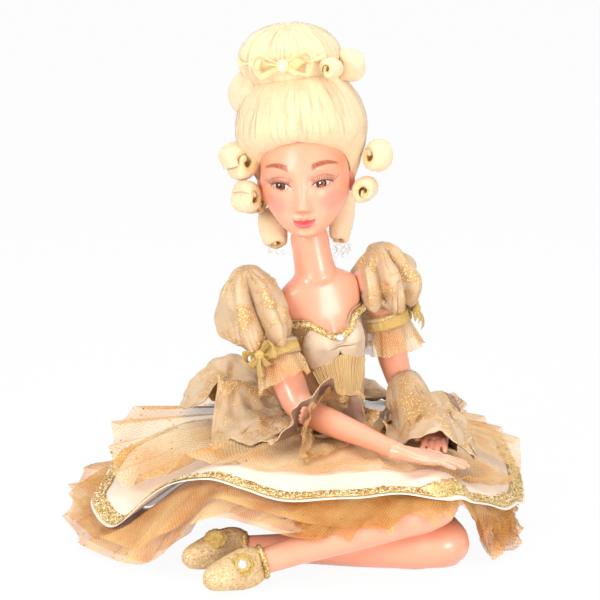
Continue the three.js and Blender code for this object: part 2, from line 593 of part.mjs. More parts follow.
function sleeve(side) {
  const puff = puffs[side];
  const band = bandAt(side);
  const neckCentre = band.centre.clone().addScaledVector(band.along, -BAND_HEIGHT / 2);
  const rings = [16, 42, 70, 98, 124].map((degrees) => {
    const b = rad(degrees);
    const drop = rise(degrees, 60, 150);
    const centre = puff.centre.clone().addScaledVector(torsoUp, puff.top * Math.cos(b))
      .lerp(neckCentre.clone().addScaledVector(torsoUp, 4), drop * 0.5);
    return circle(FLUTES * 3).map((a) => {
      const flute = 1 + 0.085 * Math.cos(FLUTES * a) * Math.sin(b);
      const point = centre.clone()
        .addScaledVector(torsoAcross, puff.across * Math.sin(b) * Math.cos(a) * flute)
        .addScaledVector(torsoBack, puff.back * Math.sin(b) * Math.sin(a) * flute);
      return pushedOut(side, point);
    });
  });
  const neck = [0, BAND_HEIGHT].map((down) =>
    circle(FLUTES * 3).map((a) =>
      pushedOut(side, neckCentre.clone().addScaledVector(band.along, down)
        .addScaledVector(band.across, (BAND_RADIUS - 1) * Math.cos(a))
        .addScaledVector(band.back, (BAND_RADIUS - 1) * Math.sin(a)), CLOTH + SEAT_GAP)));
  return mainPiece(cutBy(lofted([...rings, ...neck]), armRoom(side)));
}
place("right_sleeve", sleeve(-1), brocade);
place("left_sleeve", sleeve(1), brocade);

// A ring-shaped sheet about an arm, from one place along it to another.
function cuff(side, places, radii, count, reshape = (point) => point) {
  const face = (out) =>
    places.map((u, i) => {
      const frame = armFrame(side, u);
      return circle(count).map((a) => {
        const r = radii(i / (places.length - 1), a) + out;
        const point = frame.centre.clone()
          .addScaledVector(frame.across, r * Math.cos(a))
          .addScaledVector(frame.back, r * Math.sin(a));
        return reshape(point, i / (places.length - 1), a, out);
      });
    });
  return sheet(face(CLOTH), face(0), true);
}
const armLength = (side) => armPaths[side].getLength();
for (const [side, name] of [[-1, "right"], [1, "left"]]) {
  const half = BAND_HEIGHT / 2 / armLength(side);
  const bandPlaces = [BAND_PLACE - half + 0.014, BAND_PLACE + half - 0.004];
  const besideTorso = (point, s, a, out) => pushedOut(side, point, CLOTH - out);
  place(name + "_sleeve_band", cuff(side, bandPlaces, () => BAND_RADIUS - 1 + SEAT_GAP + 0.6, 16, besideTorso), goldMesh);
  const frillPlaces = steps(1, BAND_PLACE + half + 0.006, BAND_PLACE + half + 15 / armLength(side));
  const frillRadius = (s, a) => lerp(BAND_RADIUS - 2.5, BAND_RADIUS + 3, s) + 1.2 * s * Math.cos(5 * a);
  place(name + "_sleeve_frill", cuff(side, frillPlaces, frillRadius, 20, besideTorso), net);
}

// The height of the drape needed to pass over the folded legs and the slippers.
const legBalls = [rightLegPath, leftLegPath].flatMap((path) =>
  steps(30, 0, 1).map((u) => ({ at: path.getPointAt(u), r: legRadius(u) })));
const shoeBalls = [[rightShoeAt, RIGHT_TOE_DIRECTION], [leftShoeAt, LEFT_TOE_DIRECTION]].flatMap(([at, toe]) =>
  steps(4, -0.1, 0.65).map((u) => ({ at: at.clone().addScaledVector(toe, SHOE_LENGTH * u), r: SHOE_HALF_HEIGHT })));
const overLegs = (x, y) =>
  Math.max(...[...legBalls, ...shoeBalls].map(({ at, r }) => at.z + r - ((x - at.x) ** 2 + (y - at.y) ** 2) / (2 * r)));

// A hem through points round the waist, as its reach and height at any angle.
function hemThrough(points) {
  const stops = points
    .map(([x, y, z]) => ({ angle: Math.atan2(y, x - WAIST_SHIFT), reach: Math.hypot(x - WAIST_SHIFT, y) * SKIRT_SPREAD, z }))
    .sort((a, b) => a.angle - b.angle);
  const turn = 2 * Math.PI;
  const shifted = (stop, by) => ({ ...stop, angle: stop.angle + by });
  const all = [...stops.slice(-2).map((s) => shifted(s, -turn)), ...stops, ...stops.slice(0, 2).map((s) => shifted(s, turn))];
  const reach = through(all.map((s) => [s.angle, s.reach]));
  const height = through(all.map((s) => [s.angle, s.z]));
  const wrapped = (angle) => Math.atan2(Math.sin(angle), Math.cos(angle));
  return { reach: (angle) => reach(wrapped(angle)), height: (angle) => height(wrapped(angle)) };
}
const satinHem = hemThrough([
  [98, -38, 20], [100, 8, 25], [90, 55, 34], [55, 92, 26], [4, 108, 36], [-50, 100, 24], [-98, 70, 36],
  [-128, 28, 30], [-139, -10, 21], [-140, -40, 17], [-126, -67, 18], [-97, -92, 45], [-75, -104, 54],
  [-56, -112, 50], [-25, -120, 45.5], [2, -119, 47], [28, -116, 47.5], [52, -108, 43.5], [76, -86, 34],
]);
const waistReach = (angle) => {
  const a = WAIST_HALF_WIDTH + bodiceOut + 1.6;
  const b = WAIST_HALF_DEPTH + bodiceOut + 1.6;
  const local = angle - rad(TURN_DEG);
  return (a * b) / Math.hypot(b * Math.cos(local), a * Math.sin(local));
};
const atAngle = (angle, reach, z) => V(WAIST_SHIFT + reach * Math.cos(angle), reach * Math.sin(angle), z);

// The lining surface that all skirt layers lie above: the fall to the hem, raised where the legs lie.
const LEG_LIFT = 2.8;
function liningHeight(angle, reach) {
  const share = clamp(reach / satinHem.reach(angle), 0, 1);
  const fall = lerp(SKIRT_TOP, satinHem.height(angle), share ** SKIRT_FALL);
  const at = atAngle(angle, reach, 0);
  const flutes = 1.6 * share ** 3 * Math.cos(13 * angle) * rise(Math.abs(angle - FRONT), 0.5, 1);
  return above(fall - LAYER_GAP - CLOTH + flutes, overLegs(at.x, at.y) + LEG_LIFT, 6 * (1 - share));
}
const AROUND = 40;
const skirtShares = [0, 0.2, 0.4, 0.58, 0.74, 0.88, 1];
const skirtReach = (angle, share) => lerp(waistReach(angle), satinHem.reach(angle) - HEM_BAND_WIDTH - HEM_MARGIN, share);
const skirtRow = (reachAt, lift) => circle(AROUND).map((a) => atAngle(a, reachAt(a), liningHeight(a, reachAt(a)) + lift));
const skirtRows = (shares, lift) => shares.map((share) => skirtRow((a) => skirtReach(a, share), lift));
const SATIN_LIFT = CLOTH + LAYER_GAP;
const satinFace = (lift) => [
  ...skirtRows(skirtShares, SATIN_LIFT + lift),
  skirtRow((a) => satinHem.reach(a) - HEM_MARGIN, SATIN_LIFT + lift),
  skirtRow((a) => satinHem.reach(a), SATIN_LIFT + lift),
];
place("satin_skirt", sheet(satinFace(CLOTH), satinFace(0), true), satin);
const petticoatShares = skirtShares.slice(0, -1);
const petticoatEnd = (angle) => skirtReach(angle, petticoatShares[petticoatShares.length - 1]);
place("petticoat", sheet(skirtRows(petticoatShares, CLOTH), skirtRows(petticoatShares, 0), true), net);

// Glitter band on the satin hem.
const hemBandFace = (lift) => satinFace(CLOTH + lift).slice(-3, -1);
place("hem_trim", sheet(hemBandFace(SEAT_GAP + 0.7), hemBandFace(SEAT_GAP), true), glitter);

// The top of the satin at a place, for what lies on it.
function satinHeight(x, y) {
  const angle = Math.atan2(y, x - WAIST_SHIFT);
  const reach = Math.hypot(x - WAIST_SHIFT, y);
  const past = Math.max(reach - satinHem.reach(angle), 0);
  return liningHeight(angle, reach) + SATIN_LIFT + CLOTH - past * 3;
}

// Part of a round layer between two angles, from the waist to its own hem, lying on what is under it.
function layer({ hem, from, to, columns, shares, top, fall, crest, under, clear, inner }) {
  const face = (lift) =>
    shares.map((share) =>
      steps(columns, from, to).map((degrees) => {
        const a = rad(degrees);
        const reach = lerp(waistReach(a) + inner, hem.reach(a), share);
        const own = lerp(top, hem.height(a), share ** fall) + crest(degrees, share);
        const at = atAngle(a, reach, 0);
        return atAngle(a, reach, above(own, under(at.x, at.y) + clear, 1.5) + lift);
      }));
  return sheet(face(CLOTH), face(0), false);
}

// Speckled net overskirt, open at the front.
const netHem = hemThrough([
  [97, -22, 33], [99, 10, 38], [80, 52, 42], [48, 86, 40], [0, 98, 46], [-48, 92, 44], [-90, 56, 52],
  [-124, 32, 53], [-130, -4, 44], [-122, -44, 34], [-101, -68, 42], [-80, -82, 57], [-56, -90, 54], [0, -90, 50], [70, -70, 44],
]);
const netShares = [0, 0.24, 0.46, 0.66, 0.84, 1];
const NET_TOP = SKIRT_TOP + 3.5;
const NET_FALL = 1.5;
const NET_INNER = 1.2;
place("net_overskirt", layer({
  hem: netHem, from: -9, to: 237, columns: 30, shares: netShares, top: NET_TOP, fall: NET_FALL, inner: NET_INNER,
  crest: (degrees, share) => 2 * share * Math.cos(rad(degrees * 10)), under: satinHeight, clear: LAYER_GAP,
}), net);
const netHeight = (x, y) => {
  const angle = Math.atan2(y, x - WAIST_SHIFT);
  const inner = waistReach(angle) + NET_INNER;
  const share = (Math.hypot(x - WAIST_SHIFT, y) - inner) / (netHem.reach(angle) - inner);
  const own = lerp(NET_TOP, netHem.height(angle), clamp(share, 0, 1) ** NET_FALL) + 2 * clamp(share, 0, 1);
  return above(own, satinHeight(x, y) + LAYER_GAP, 1.5) + CLOTH - Math.max(share - 1, 0) * 300;
};

// Brocade drapes over the net: a high puff at the doll's right and a lower swag behind.
const drapeHem = hemThrough([
  [88, -14, 44], [86, 22, 46], [64, 54, 50], [30, 72, 46], [-8, 80, 50], [-46, 70, 46], [-74, 50, 58],
  [-92, 26, 66], [-90, 4, 66], [-71, -14, 84], [-75, -32, 54], [-72, -46, 46], [-48, -52, 52], [0, -60, 58], [60, -50, 54],
]);
const DRAPE_GAP = 0.2;
const drapeShares = [0, 0.24, 0.46, 0.66, 0.84, 1];
const arch = (share) => Math.sin(Math.PI * share ** 1.4);
const leftCrest = through([[128, 12], [148, 20], [164, 24], [180, 15], [194, 4], [206, 8], [222, 1]]);
const backCrest = through([[40, 0], [58, 6], [80, 12], [104, 12], [126, 12]]);
const DRAPE_TOP = SKIRT_TOP + 8.5;
const DRAPE_FALL = 1.6;
const DRAPE_INNER = 4;
const DRAPE_RIGHT_FROM = 128;
const DRAPE_RIGHT_TO = 221;
const rightCrest = (degrees, share) => leftCrest(degrees) * arch(share) + 2 * share * Math.cos(rad(degrees * 9));
place("drape_right", layer({
  hem: drapeHem, from: DRAPE_RIGHT_FROM, to: DRAPE_RIGHT_TO, columns: 24, shares: drapeShares,
  top: DRAPE_TOP, fall: DRAPE_FALL, inner: DRAPE_INNER, crest: rightCrest, under: netHeight, clear: DRAPE_GAP,
}), brocade);
place("drape_back", layer({
  hem: drapeHem, from: 40, to: 126, columns: 16, shares: drapeShares, top: DRAPE_TOP, fall: DRAPE_FALL, inner: 2,
  crest: (degrees, share) => backCrest(degrees) * arch(share) + 2 * share * Math.cos(rad(degrees * 9)),
  under: netHeight, clear: DRAPE_GAP,
}), brocade);

// Net flounces hanging from the petticoat's edge, past the satin hem.
const flounceHem = hemThrough([
  [98, -16, 9], [97, -40, 2.5], [91, -61, 2.5], [82, -76, 2.5], [72, -92, 3], [64, -104, 9], [50, -114, 18],
  [28, -119, 19], [-4, -122, 22], [-25, -127, 26], [-50, -124, 32], [-74, -114, 34], [-98, -104, 14], [-114, -97, 3], [-133, -80, 2.5],
  [-146, -60, 2.5], [-158, -24, 8], [-158, 2, 17], [-152, 36, 10], [-126, 76, 4], [-82, 106, 10], [-30, 118, 4],
  [22, 115, 11], [68, 97, 4], [93, 60, 11], [100, 22, 5],
]);
function flounce({ hem, columns, ruffles }) {
  const face = (out) =>
    [0, 0.3, 0.6, 1].map((s) =>
      circle(columns).map((a) => {
        const inner = petticoatEnd(a) + SEAT_GAP + 0.2;
        const reach = lerp(inner, hem.reach(a), s) + ruffles * s * s * Math.cos(10 * a);
        const at = atAngle(a, reach, 0);
        const own = lerp(liningHeight(a, inner), hem.height(a), s ** 1.35);
        const overLeg = Math.max(own, overLegs(at.x, at.y) + LEG_LIFT - 1.2);
        const under = liningHeight(a, Math.min(reach, satinHem.reach(a))) - 1.2 * s;
        const hang = rise(s, 0.3, 1);
        return atAngle(a, reach + out * hang, Math.min(overLeg, under) + out * (1 - hang * 0.8));
      }));
  return sheet(face(CLOTH), face(0), true);
}
place("petticoat_flounce", flounce({ hem: flounceHem, columns: AROUND, ruffles: 1.2 }), net);

// Elbow cuffs: a brocade flounce and a longer net ruffle that flare below the elbow and hang down onto the lap.
const drapeTopAt = (x, y) => {
  const angle = Math.atan2(y, x - WAIST_SHIFT);
  const degrees = (THREE.MathUtils.radToDeg(angle) + 360) % 360;
  const inner = waistReach(angle) + DRAPE_INNER;
  const share = (Math.hypot(x - WAIST_SHIFT, y) - inner) / (drapeHem.reach(angle) - inner);
  if (degrees < DRAPE_RIGHT_FROM - 2 || degrees > DRAPE_RIGHT_TO + 2 || share > 1.06) return 0;
  const along = clamp(share, 0, 1);
  const own = lerp(DRAPE_TOP, drapeHem.height(angle), along ** DRAPE_FALL) + rightCrest(degrees, along);
  return above(own, netHeight(x, y) + DRAPE_GAP, 1.5) + CLOTH;
};
const lapHeight = (x, y) => {
  const angle = THREE.MathUtils.radToDeg(Math.atan2(y, x - WAIST_SHIFT));
  const underNet = angle > -17 || angle < -116 ? netHeight(x, y) : satinHeight(x, y);
  return Math.max(underNet, satinHeight(x, y), drapeTopAt(x, y));
};
const flounces = {
  "-1": {
    place: 0.455,
    brocade: { start: 0, inside: 3.4, over: 9, under: 38, lean: V(-1.05, -0.5, 0), flare: 0.6, gap: 2.4 },
    net: { start: 4, inside: 1.4, over: 17, under: 50, lean: V(0.1, -1, 0), flare: 0.5, gap: 1.2 },
  },
  1: {
    place: 0.58,
    brocade: { start: 0, inside: 2.2, over: 44, under: 50, lean: V(0.15, 0, 0), flare: 0.29, gap: 2.4 },
    net: { start: 4, inside: 0.3, over: 40, under: 46, lean: V(0.1, 0, 0), flare: 0.21, gap: 1.2 },
  },
};
function elbowCuff(side, { start, inside, over, under, lean, flare, gap }) {
  const frame = armFrame(side, flounces[side].place);
  const face = (out) =>
    steps(5, 0, 1).map((s) =>
      circle(30).map((a) => {
        const outward = frame.across.clone().multiplyScalar(Math.cos(a)).addScaledVector(frame.back, Math.sin(a));
        const low = ((1 - outward.z) / 2) ** 0.7;
        const way = frame.along.clone().multiplyScalar(0.75)
          .addScaledVector(outward, flare)
          .addScaledVector(lean, low)
          .add(V(0, 0, -0.5 * low)).normalize();
        const off = outward.clone().addScaledVector(way, -0.9 * outward.dot(way)).normalize();
        const point = frame.centre.clone()
          .addScaledVector(frame.along, start)
          .addScaledVector(outward, ELBOW_RADIUS + inside + 1.5 * s + 2 * s * Math.cos(5 * a))
          .addScaledVector(way, lerp(over, under, low) * s)
          .addScaledVector(off, out);
        return point.setZ(Math.max(point.z, lapHeight(point.x, point.y) + gap + out));
      }));
  return sheet(face(CLOTH), face(0), true);
}
for (const [side, name] of [[-1, "right"], [1, "left"]]) {
  place(name + "_elbow_flounce", elbowCuff(side, flounces[side].brocade), brocade);
  place(name + "_elbow_ruffle", elbowCuff(side, flounces[side].net), net);
}

// The head: an egg drawn forward to the chin, with brow, eyes, nose, lips and cheeks raised on its front.
const headCentre = onTorso(0, 0, NECK_TOP).add(HEAD_OVER_NECK);
const headFrame = new THREE.Matrix4()
  .makeTranslation(headCentre.x, headCentre.y, headCentre.z)
  .multiply(new THREE.Matrix4().makeRotationY(-rad(HEAD_TILT_DEG)))
  .multiply(new THREE.Matrix4().makeRotationZ(rad(HEAD_TURN_DEG)))
  .multiply(new THREE.Matrix4().makeRotationX(rad(HEAD_NOD_DEG)));
const onHead = (x, y, z) => V(x, y, z).applyMatrix4(headFrame);
const EGG_RISE = 3;
function faceRelief(x, z) {
  const s = Math.abs(x);
  const bridge = through([[-16, 0], [-12.5, NOSE_LENGTH], [-9.5, NOSE_LENGTH - 1.4], [0, 2.2], [6, 0.4], [9, 0]]);
  const nose = bridge(z) * bump(x, lerp(4.6, 2.9, rise(z, -13, -3)));
  const wings = 1.5 * bump(s - 3.9, 1.7) * bump(z + 12.6, 2);
  const sockets = -2.4 * bump(s - 10.8, 6.2) * bump(z - 0.8, 4.6);
  const eyeballs = 1.8 * bump(s - 11.2, 4.6) * bump(z + 0.2, 3);
  const brows = 0.9 * bump(s - 10.5, 7) * bump(z - 7.5, 3);
  const cheeks = 1.2 * bump(s - 14, 6) * bump(z + 10, 7);
  const lips = (1.7 * bump(z + 19.4, 1.4) + 1.9 * bump(z + 22.6, 1.5)) * bump(x, 5.2);
  const chin = 1.4 * bump(x, 6) * bump(z + 29, 3.4);
  return nose + wings + sockets + eyeballs + brows + cheeks + lips + chin;
}
function headPoint(lon, lat, out = 0, features = 1) {
  const x = (HEAD_HALF_WIDTH + out) * Math.cos(lat) * Math.sin(lon);
  const z = (HEAD_HALF_HEIGHT + out) * Math.sin(lat) + EGG_RISE;
  const forward = 18 * Math.max((-z - 8) / 21, 0) ** 1.6;
  const relief = Math.cos(lon) > 0 ? features * faceRelief(x, z) * rise(Math.cos(lon), 0, 0.35) : 0;
  return onHead(x, -(HEAD_HALF_DEPTH + out) * Math.cos(lat) * Math.cos(lon) - forward - relief, z);
}
const faceLongitudes = [-75, -60, -48, -38, -30, -23, -17, -11, -5, 0, 5, 11, 17, 23, 30, 38, 48, 60, 75, 105, 150, 210, 255].map(rad);
const faceLatitudes = [-82, -70, -60, -52, -46, -41.5, -37.5, -33.5, -29.5, -25.5, -20, -14, -8, -2, 6, 20, 40, 66].map(rad);
const headEgg = (out) => lofted(faceLatitudes.map((lat) => faceLongitudes.map((lon) => headPoint(lon, lat, out))));
const skull = (out) =>
  lofted(steps(8, -78, 78).map((lat) => circle(14).map((lon) => headPoint(lon, rad(lat), out, 0))));
const ear = (side) =>
  new THREE.SphereGeometry(1, 8, 6).scale(2.2, 4.2, 6.6).rotateZ(side * 0.35).translate(side * (HEAD_HALF_WIDTH - 0.4), 3, -4)
    .applyMatrix4(headFrame);
place("head", cutBy(joined(headEgg(0), ear(-1), ear(1)), neckPost(SEAT_GAP)), skin);

// Wig: the front roll, an egg of hair over the head with the face left open, and the bun on its top.
const poufHalfWidth = through([
  [-16, HEAD_HALF_WIDTH - 3], [-6, HEAD_HALF_WIDTH + 2.5], [8, HEAD_HALF_WIDTH + 7], [POUF_WIDEST, POUF_HALF_WIDTH],
  [40, POUF_HALF_WIDTH - 2.5], [50, POUF_HALF_WIDTH - 8], [58, POUF_HALF_WIDTH - 17], [62, 8],
]);
const poufHalfDepth = through([
  [-16, 15], [-6, HEAD_HALF_DEPTH], [8, HEAD_HALF_DEPTH + 4], [POUF_WIDEST, POUF_HALF_DEPTH + 2],
  [40, POUF_HALF_DEPTH], [50, POUF_HALF_DEPTH - 5], [58, POUF_HALF_DEPTH - 13], [62, 8],
]);
function bunShape(out, columns, rows) {
  const rings = steps(rows, 8, 172).map((degrees) => {
    const b = rad(degrees);
    return circle(columns).map((a) =>
      onHead(
        BUN_CENTRE.x + (BUN_HALF_WIDTH + out) * Math.sin(b) * Math.cos(a),
        BUN_CENTRE.y + (BUN_HALF_DEPTH + out) * Math.sin(b) * Math.sin(a),
        BUN_CENTRE.z + (BUN_HALF_HEIGHT + out) * Math.cos(b)));
  });
  return lofted(rings);
}
const poufEgg = (out) => lofted(
  [-16, -8, 3, 15, POUF_WIDEST, 39, 50, 58, 62].map((z) =>
    circle(18).map((a) => onHead((poufHalfWidth(z) + out) * Math.cos(a), 1 + (poufHalfDepth(z) + out) * Math.sin(a), z))));
const FACE_OPENING_DEPTH = 60;
const faceArch = new THREE.Shape();
faceArch.moveTo(-HAIRLINE_HALF_WIDTH, -50);
faceArch.lineTo(HAIRLINE_HALF_WIDTH, -50);
faceArch.absellipse(0, 0, HAIRLINE_HALF_WIDTH, HAIRLINE_HEIGHT, 0, Math.PI, false, 0);
faceArch.closePath();
const faceOpening = new THREE.ExtrudeGeometry(faceArch, { depth: FACE_OPENING_DEPTH, curveSegments: 10, bevelEnabled: false })
  .rotateX(Math.PI / 2)
  .translate(0, -2, 0)
  .applyMatrix4(headFrame);
const earRoom = (side) =>
  new THREE.SphereGeometry(1, 8, 6).scale(3, 5, 7.4).rotateZ(side * 0.35).translate(side * (HEAD_HALF_WIDTH - 0.4), 3, -4)
    .applyMatrix4(headFrame);
const poufCut = cutBy(poufEgg(0), skull(SEAT_GAP + 1.2), faceOpening, earRoom(-1), earRoom(1), bunShape(SEAT_GAP, 16, 7));
place("wig_front_roll", mainPiece(poufCut), wool);

// Rolled locks: a flat lock of hair wound in a spiral, swelling in its middle.
let leastLockGap = Infinity;
function rolledLock({ at, axis, length, radius, turns = CURL_TURNS, start = 0, segments = 12 }) {
  const pitch = LOCK_THICKNESS + LOCK_GAP;
  const shrink = radius / (pitch * turns + LOCK_THICKNESS / 2 + 1.8);
  const w = axis.clone().normalize();
  const u = V(0, 0, 1).cross(w).normalize();
  const v = w.clone().cross(u);
  const swell = [0.86, 1, 0.86];
  const spiral = (side) =>
    swell.map((size, k) =>
      steps(segments, 0, turns * 2 * Math.PI).map((a) => {
        const r = shrink * size * (1.8 + (pitch * a) / (2 * Math.PI) + (side * LOCK_THICKNESS) / 2 + LOCK_THICKNESS / 2);
        return at.clone()
          .addScaledVector(w, (k / 2 - 0.5) * length)
          .addScaledVector(u, r * Math.cos(a + start))
          .addScaledVector(v, r * Math.sin(a + start));
      }));
  leastLockGap = Math.min(leastLockGap, shrink * swell[0] * LOCK_GAP);
  return sheet(spiral(1), spiral(-1), false);
}
const lockAt = (x, y, z) => onHead(x, y, z);
const locks = {
  right_curl_upper: { at: lockAt(-35.5, -2, 10), axis: V(0.5, -0.82, 0.2), length: 17, radius: 11.2, start: 1.5 },
  right_curl_middle: { at: lockAt(-33.5, -10, -8), axis: V(0.75, -0.6, 0.1), length: 15, radius: 8.6, start: 0.5 },
  right_curl_lower: { at: lockAt(-31.5, 8, -14), axis: V(0.7, -0.6, -0.2), length: 16, radius: 8.6, start: 2.5 },
  right_ringlet: { at: lockAt(-21, 9.5, -28.4), axis: V(0.15, -0.66, -0.74), length: 23, radius: 7.8, start: 2 },
  left_curl_upper: { at: lockAt(40, -2, 9), axis: V(-0.72, -0.66, 0.1), length: 14, radius: 8.8, start: 0.4 },
  left_curl_lower: { at: lockAt(34, -6, -8.5), axis: V(-0.3, -0.95, 0), length: 14, radius: 7.6, start: 3 },
  left_ringlet: { at: lockAt(16.8, 16.4, -23.4), axis: V(-0.15, -0.5, -0.85), length: 27, radius: 7.2, start: 1 },
  bun_curl_outer: { at: lockAt(29, 2, 59), axis: V(-0.85, -0.5, 0.1), length: 14, radius: 9, start: 1 },
  bun_curl_inner: { at: lockAt(21, -19, 62.5), axis: V(-0.6, -0.78, 0.1), length: 11, radius: 6, start: 2 },
  back_roll: { at: lockAt(-30, 12, 47), axis: V(0.45, -0.85, 0.25), length: 30, radius: 12, start: 3 },
};
const wigTools = [skull(SEAT_GAP + 1.2), bunShape(SEAT_GAP, 16, 7), poufEgg(SEAT_GAP)].map(solidOf);
const earTools = [earRoom(-1), earRoom(1)].map(solidOf);
place("wig_bun", bunShape(0, 16, 7), wool);
const placedLocks = [];
for (const [name, lock] of Object.entries(locks)) {
  let body = solidOf(rolledLock(lock));
  for (const tool of [...wigTools, ...earTools, ...placedLocks]) body = body.subtract(tool);
  const whole = mainPiece(tidied(body));
  placedLocks.push(solidOf(rolledLock({ ...lock, radius: lock.radius + 0.4, length: lock.length + 0.8 })));
  place(name, whole, wool);
}
console.log("least gap between the turns of a rolled lock: " + leastLockGap.toFixed(2) + " mm");

// Ribbon round the bun's front, its bow and pearls.
const RIBBON_WIDTH = 6;
const RIBBON_THICKNESS = 0.7;
const RIBBON_HEIGHT = 1.5;
const ribbonFace = (out) =>
  [-RIBBON_WIDTH / 2, RIBBON_WIDTH / 2].map((dz) =>
    steps(14, 200, 318).map((degrees) => {
      const a = rad(degrees);
      return onHead(
        BUN_CENTRE.x + (BUN_HALF_WIDTH + out) * Math.cos(a),
        BUN_CENTRE.y + (BUN_HALF_DEPTH + out) * Math.sin(a),
        BUN_CENTRE.z + RIBBON_HEIGHT + dz);
    }));
const ribbonTool = solidOf(bunShape(SEAT_GAP, 16, 7));
const ribbonBand = solidOf(sheet(ribbonFace(SEAT_GAP + RIBBON_THICKNESS), ribbonFace(SEAT_GAP), false)).subtract(ribbonTool);
const ribbonClear = placedLocks.reduce((left, lock) => left.subtract(lock), ribbonBand).subtract(solidOf(poufEgg(SEAT_GAP)));
place("hair_ribbon", mainPiece(tidied(ribbonClear)), cream);

// A bow: two drop-shaped loops of ribbon and the knot between them.
function bow({ at, across, facing, size, width }) {
  const drop = (length, from, height) =>
    circle(8).map((a) => {
      const reach = from + ((length - from) * (1 - Math.cos(a))) / 2;
      return new THREE.Vector2(reach, height * Math.sin(a) * Math.sqrt((reach - from) / (length - from)));
    });
  const loop = (side) => {
    const outline = new THREE.Shape(drop(size, 0, size * 0.42).slice(1));
    outline.holes.push(new THREE.Path(drop(size * 0.86, size * 0.3, size * 0.26).slice(1).reverse()));
    const strip = new THREE.ExtrudeGeometry(outline, { depth: width, bevelEnabled: false });
    return strip.translate(0, 0, -width / 2).rotateZ(side > 0 ? 0 : Math.PI);
  };
  const knot = new THREE.SphereGeometry(width * 0.62, 6, 5);
  const basis = new THREE.Matrix4().makeBasis(across, facing.clone().cross(across).normalize(), facing).setPosition(at);
  return joined(loop(1), loop(-1), knot).applyMatrix4(basis);
}
const hairFront = V(0, -1, 0).transformDirection(headFrame);
const hairAcross = V(1, 0, 0).transformDirection(headFrame);
const bowWidth = 5;
const hairBowAt = onHead(BUN_CENTRE.x - 1, BUN_CENTRE.y - BUN_HALF_DEPTH - RIBBON_THICKNESS - SEAT_GAP * 2 - bowWidth * 0.62, BUN_CENTRE.z + RIBBON_HEIGHT);
place("hair_bow", bow({ at: hairBowAt, across: hairAcross, facing: hairFront, size: 11, width: bowWidth }), cream);
const pearlAt = hairBowAt.clone().addScaledVector(hairFront, bowWidth * 0.62 + 1.4 + SEAT_GAP);
place("hair_bow_pearl", new THREE.SphereGeometry(1.5, 8, 6).translate(pearlAt.x, pearlAt.y, pearlAt.z), pearl);

// Sleeve bows: at the outside of the doll's right sleeve, and behind the left one.
for (const [side, name, turn] of [[-1, "right", 0.5], [1, "left", 0.2]]) {
  const frame = bandAt(side);
  const facing = torsoAcross.clone().multiplyScalar(side).addScaledVector(torsoBack, -turn * 2).normalize();
  const flat = facing.clone().addScaledVector(frame.along, -facing.dot(frame.along)).normalize();
  const at = frame.centre.clone().addScaledVector(flat, BAND_RADIUS + CLOTH + SEAT_GAP * 2 + 1.9);
  place(name + "_sleeve_bow", bow({ at, across: flat.clone().cross(frame.along).normalize(), facing: flat, size: 10, width: 4.6 }), goldMesh);
}

export default doll;
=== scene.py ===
import math

import bmesh
import bpy
import numpy as np
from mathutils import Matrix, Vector


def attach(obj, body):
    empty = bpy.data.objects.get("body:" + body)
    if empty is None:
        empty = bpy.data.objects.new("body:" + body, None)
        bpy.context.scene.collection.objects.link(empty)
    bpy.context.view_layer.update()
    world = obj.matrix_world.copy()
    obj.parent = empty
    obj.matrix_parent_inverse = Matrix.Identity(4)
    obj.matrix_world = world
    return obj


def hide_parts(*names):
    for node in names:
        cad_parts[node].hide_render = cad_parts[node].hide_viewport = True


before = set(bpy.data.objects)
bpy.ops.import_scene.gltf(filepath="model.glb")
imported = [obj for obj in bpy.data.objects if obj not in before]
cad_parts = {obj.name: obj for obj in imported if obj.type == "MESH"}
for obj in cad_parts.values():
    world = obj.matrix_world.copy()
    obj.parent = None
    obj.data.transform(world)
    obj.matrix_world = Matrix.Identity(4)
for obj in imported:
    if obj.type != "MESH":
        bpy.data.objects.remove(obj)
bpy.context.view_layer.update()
MM = 0.001


# Shelf, camera and lamps.
# The doll sits on a plain white shelf against white, under soft lamps from the left, the right and above.
# The camera looks down on it by twelve degrees from a metre and a half, with a long lens.
AIM = (-25.0, -22.0, 133.0)
CAMERA_DISTANCE = 1500.0
CAMERA_DROP = math.radians(12)
SENSOR_WIDTH, PHOTO_WIDTH, MM_PER_PIXEL = 36, 600, 0.55

scene = bpy.context.scene
scene.view_settings.view_transform = "Standard"
scene.cycles.transparent_max_bounces = 24

camera = bpy.data.objects.new("camera", bpy.data.cameras.new("camera"))
camera.data.lens = SENSOR_WIDTH * CAMERA_DISTANCE / (PHOTO_WIDTH * MM_PER_PIXEL)
camera.data.sensor_width = SENSOR_WIDTH
camera.data.clip_end = 20
camera.location = (
    AIM[0] * MM,
    (AIM[1] - CAMERA_DISTANCE * math.cos(CAMERA_DROP)) * MM,
    (AIM[2] + CAMERA_DISTANCE * math.sin(CAMERA_DROP)) * MM,
)
camera.rotation_euler = (math.pi / 2 - CAMERA_DROP, 0, 0)
scene.collection.objects.link(camera)
scene.camera = camera


def area_lamp(name, place, target, size, power):
    lamp = bpy.data.objects.new(name, bpy.data.lights.new(name, "AREA"))
    lamp.data.shape = "DISK"
    lamp.data.size = size
    lamp.data.energy = power
    lamp.location = place
    lamp.rotation_euler = (Vector(target) - Vector(place)).to_track_quat("-Z", "Y").to_euler()
    scene.collection.objects.link(lamp)


DOLL_MIDDLE = (-0.01, -0.01, 0.13)
area_lamp("lamp_left", (-0.75, -1.0, 0.6), DOLL_MIDDLE, 0.5, 10.0)
area_lamp("lamp_right", (0.8, -1.0, 0.3), DOLL_MIDDLE, 0.5, 7.5)
area_lamp("lamp_above", (0.0, -0.1, 1.1), DOLL_MIDDLE, 0.7, 5.5)


def both_ways(operation):
    """An operator as methods: with the wire first, and with it second."""
    return lambda a, b: a.math(operation, a, b), lambda a, b: a.math(operation, b, a)


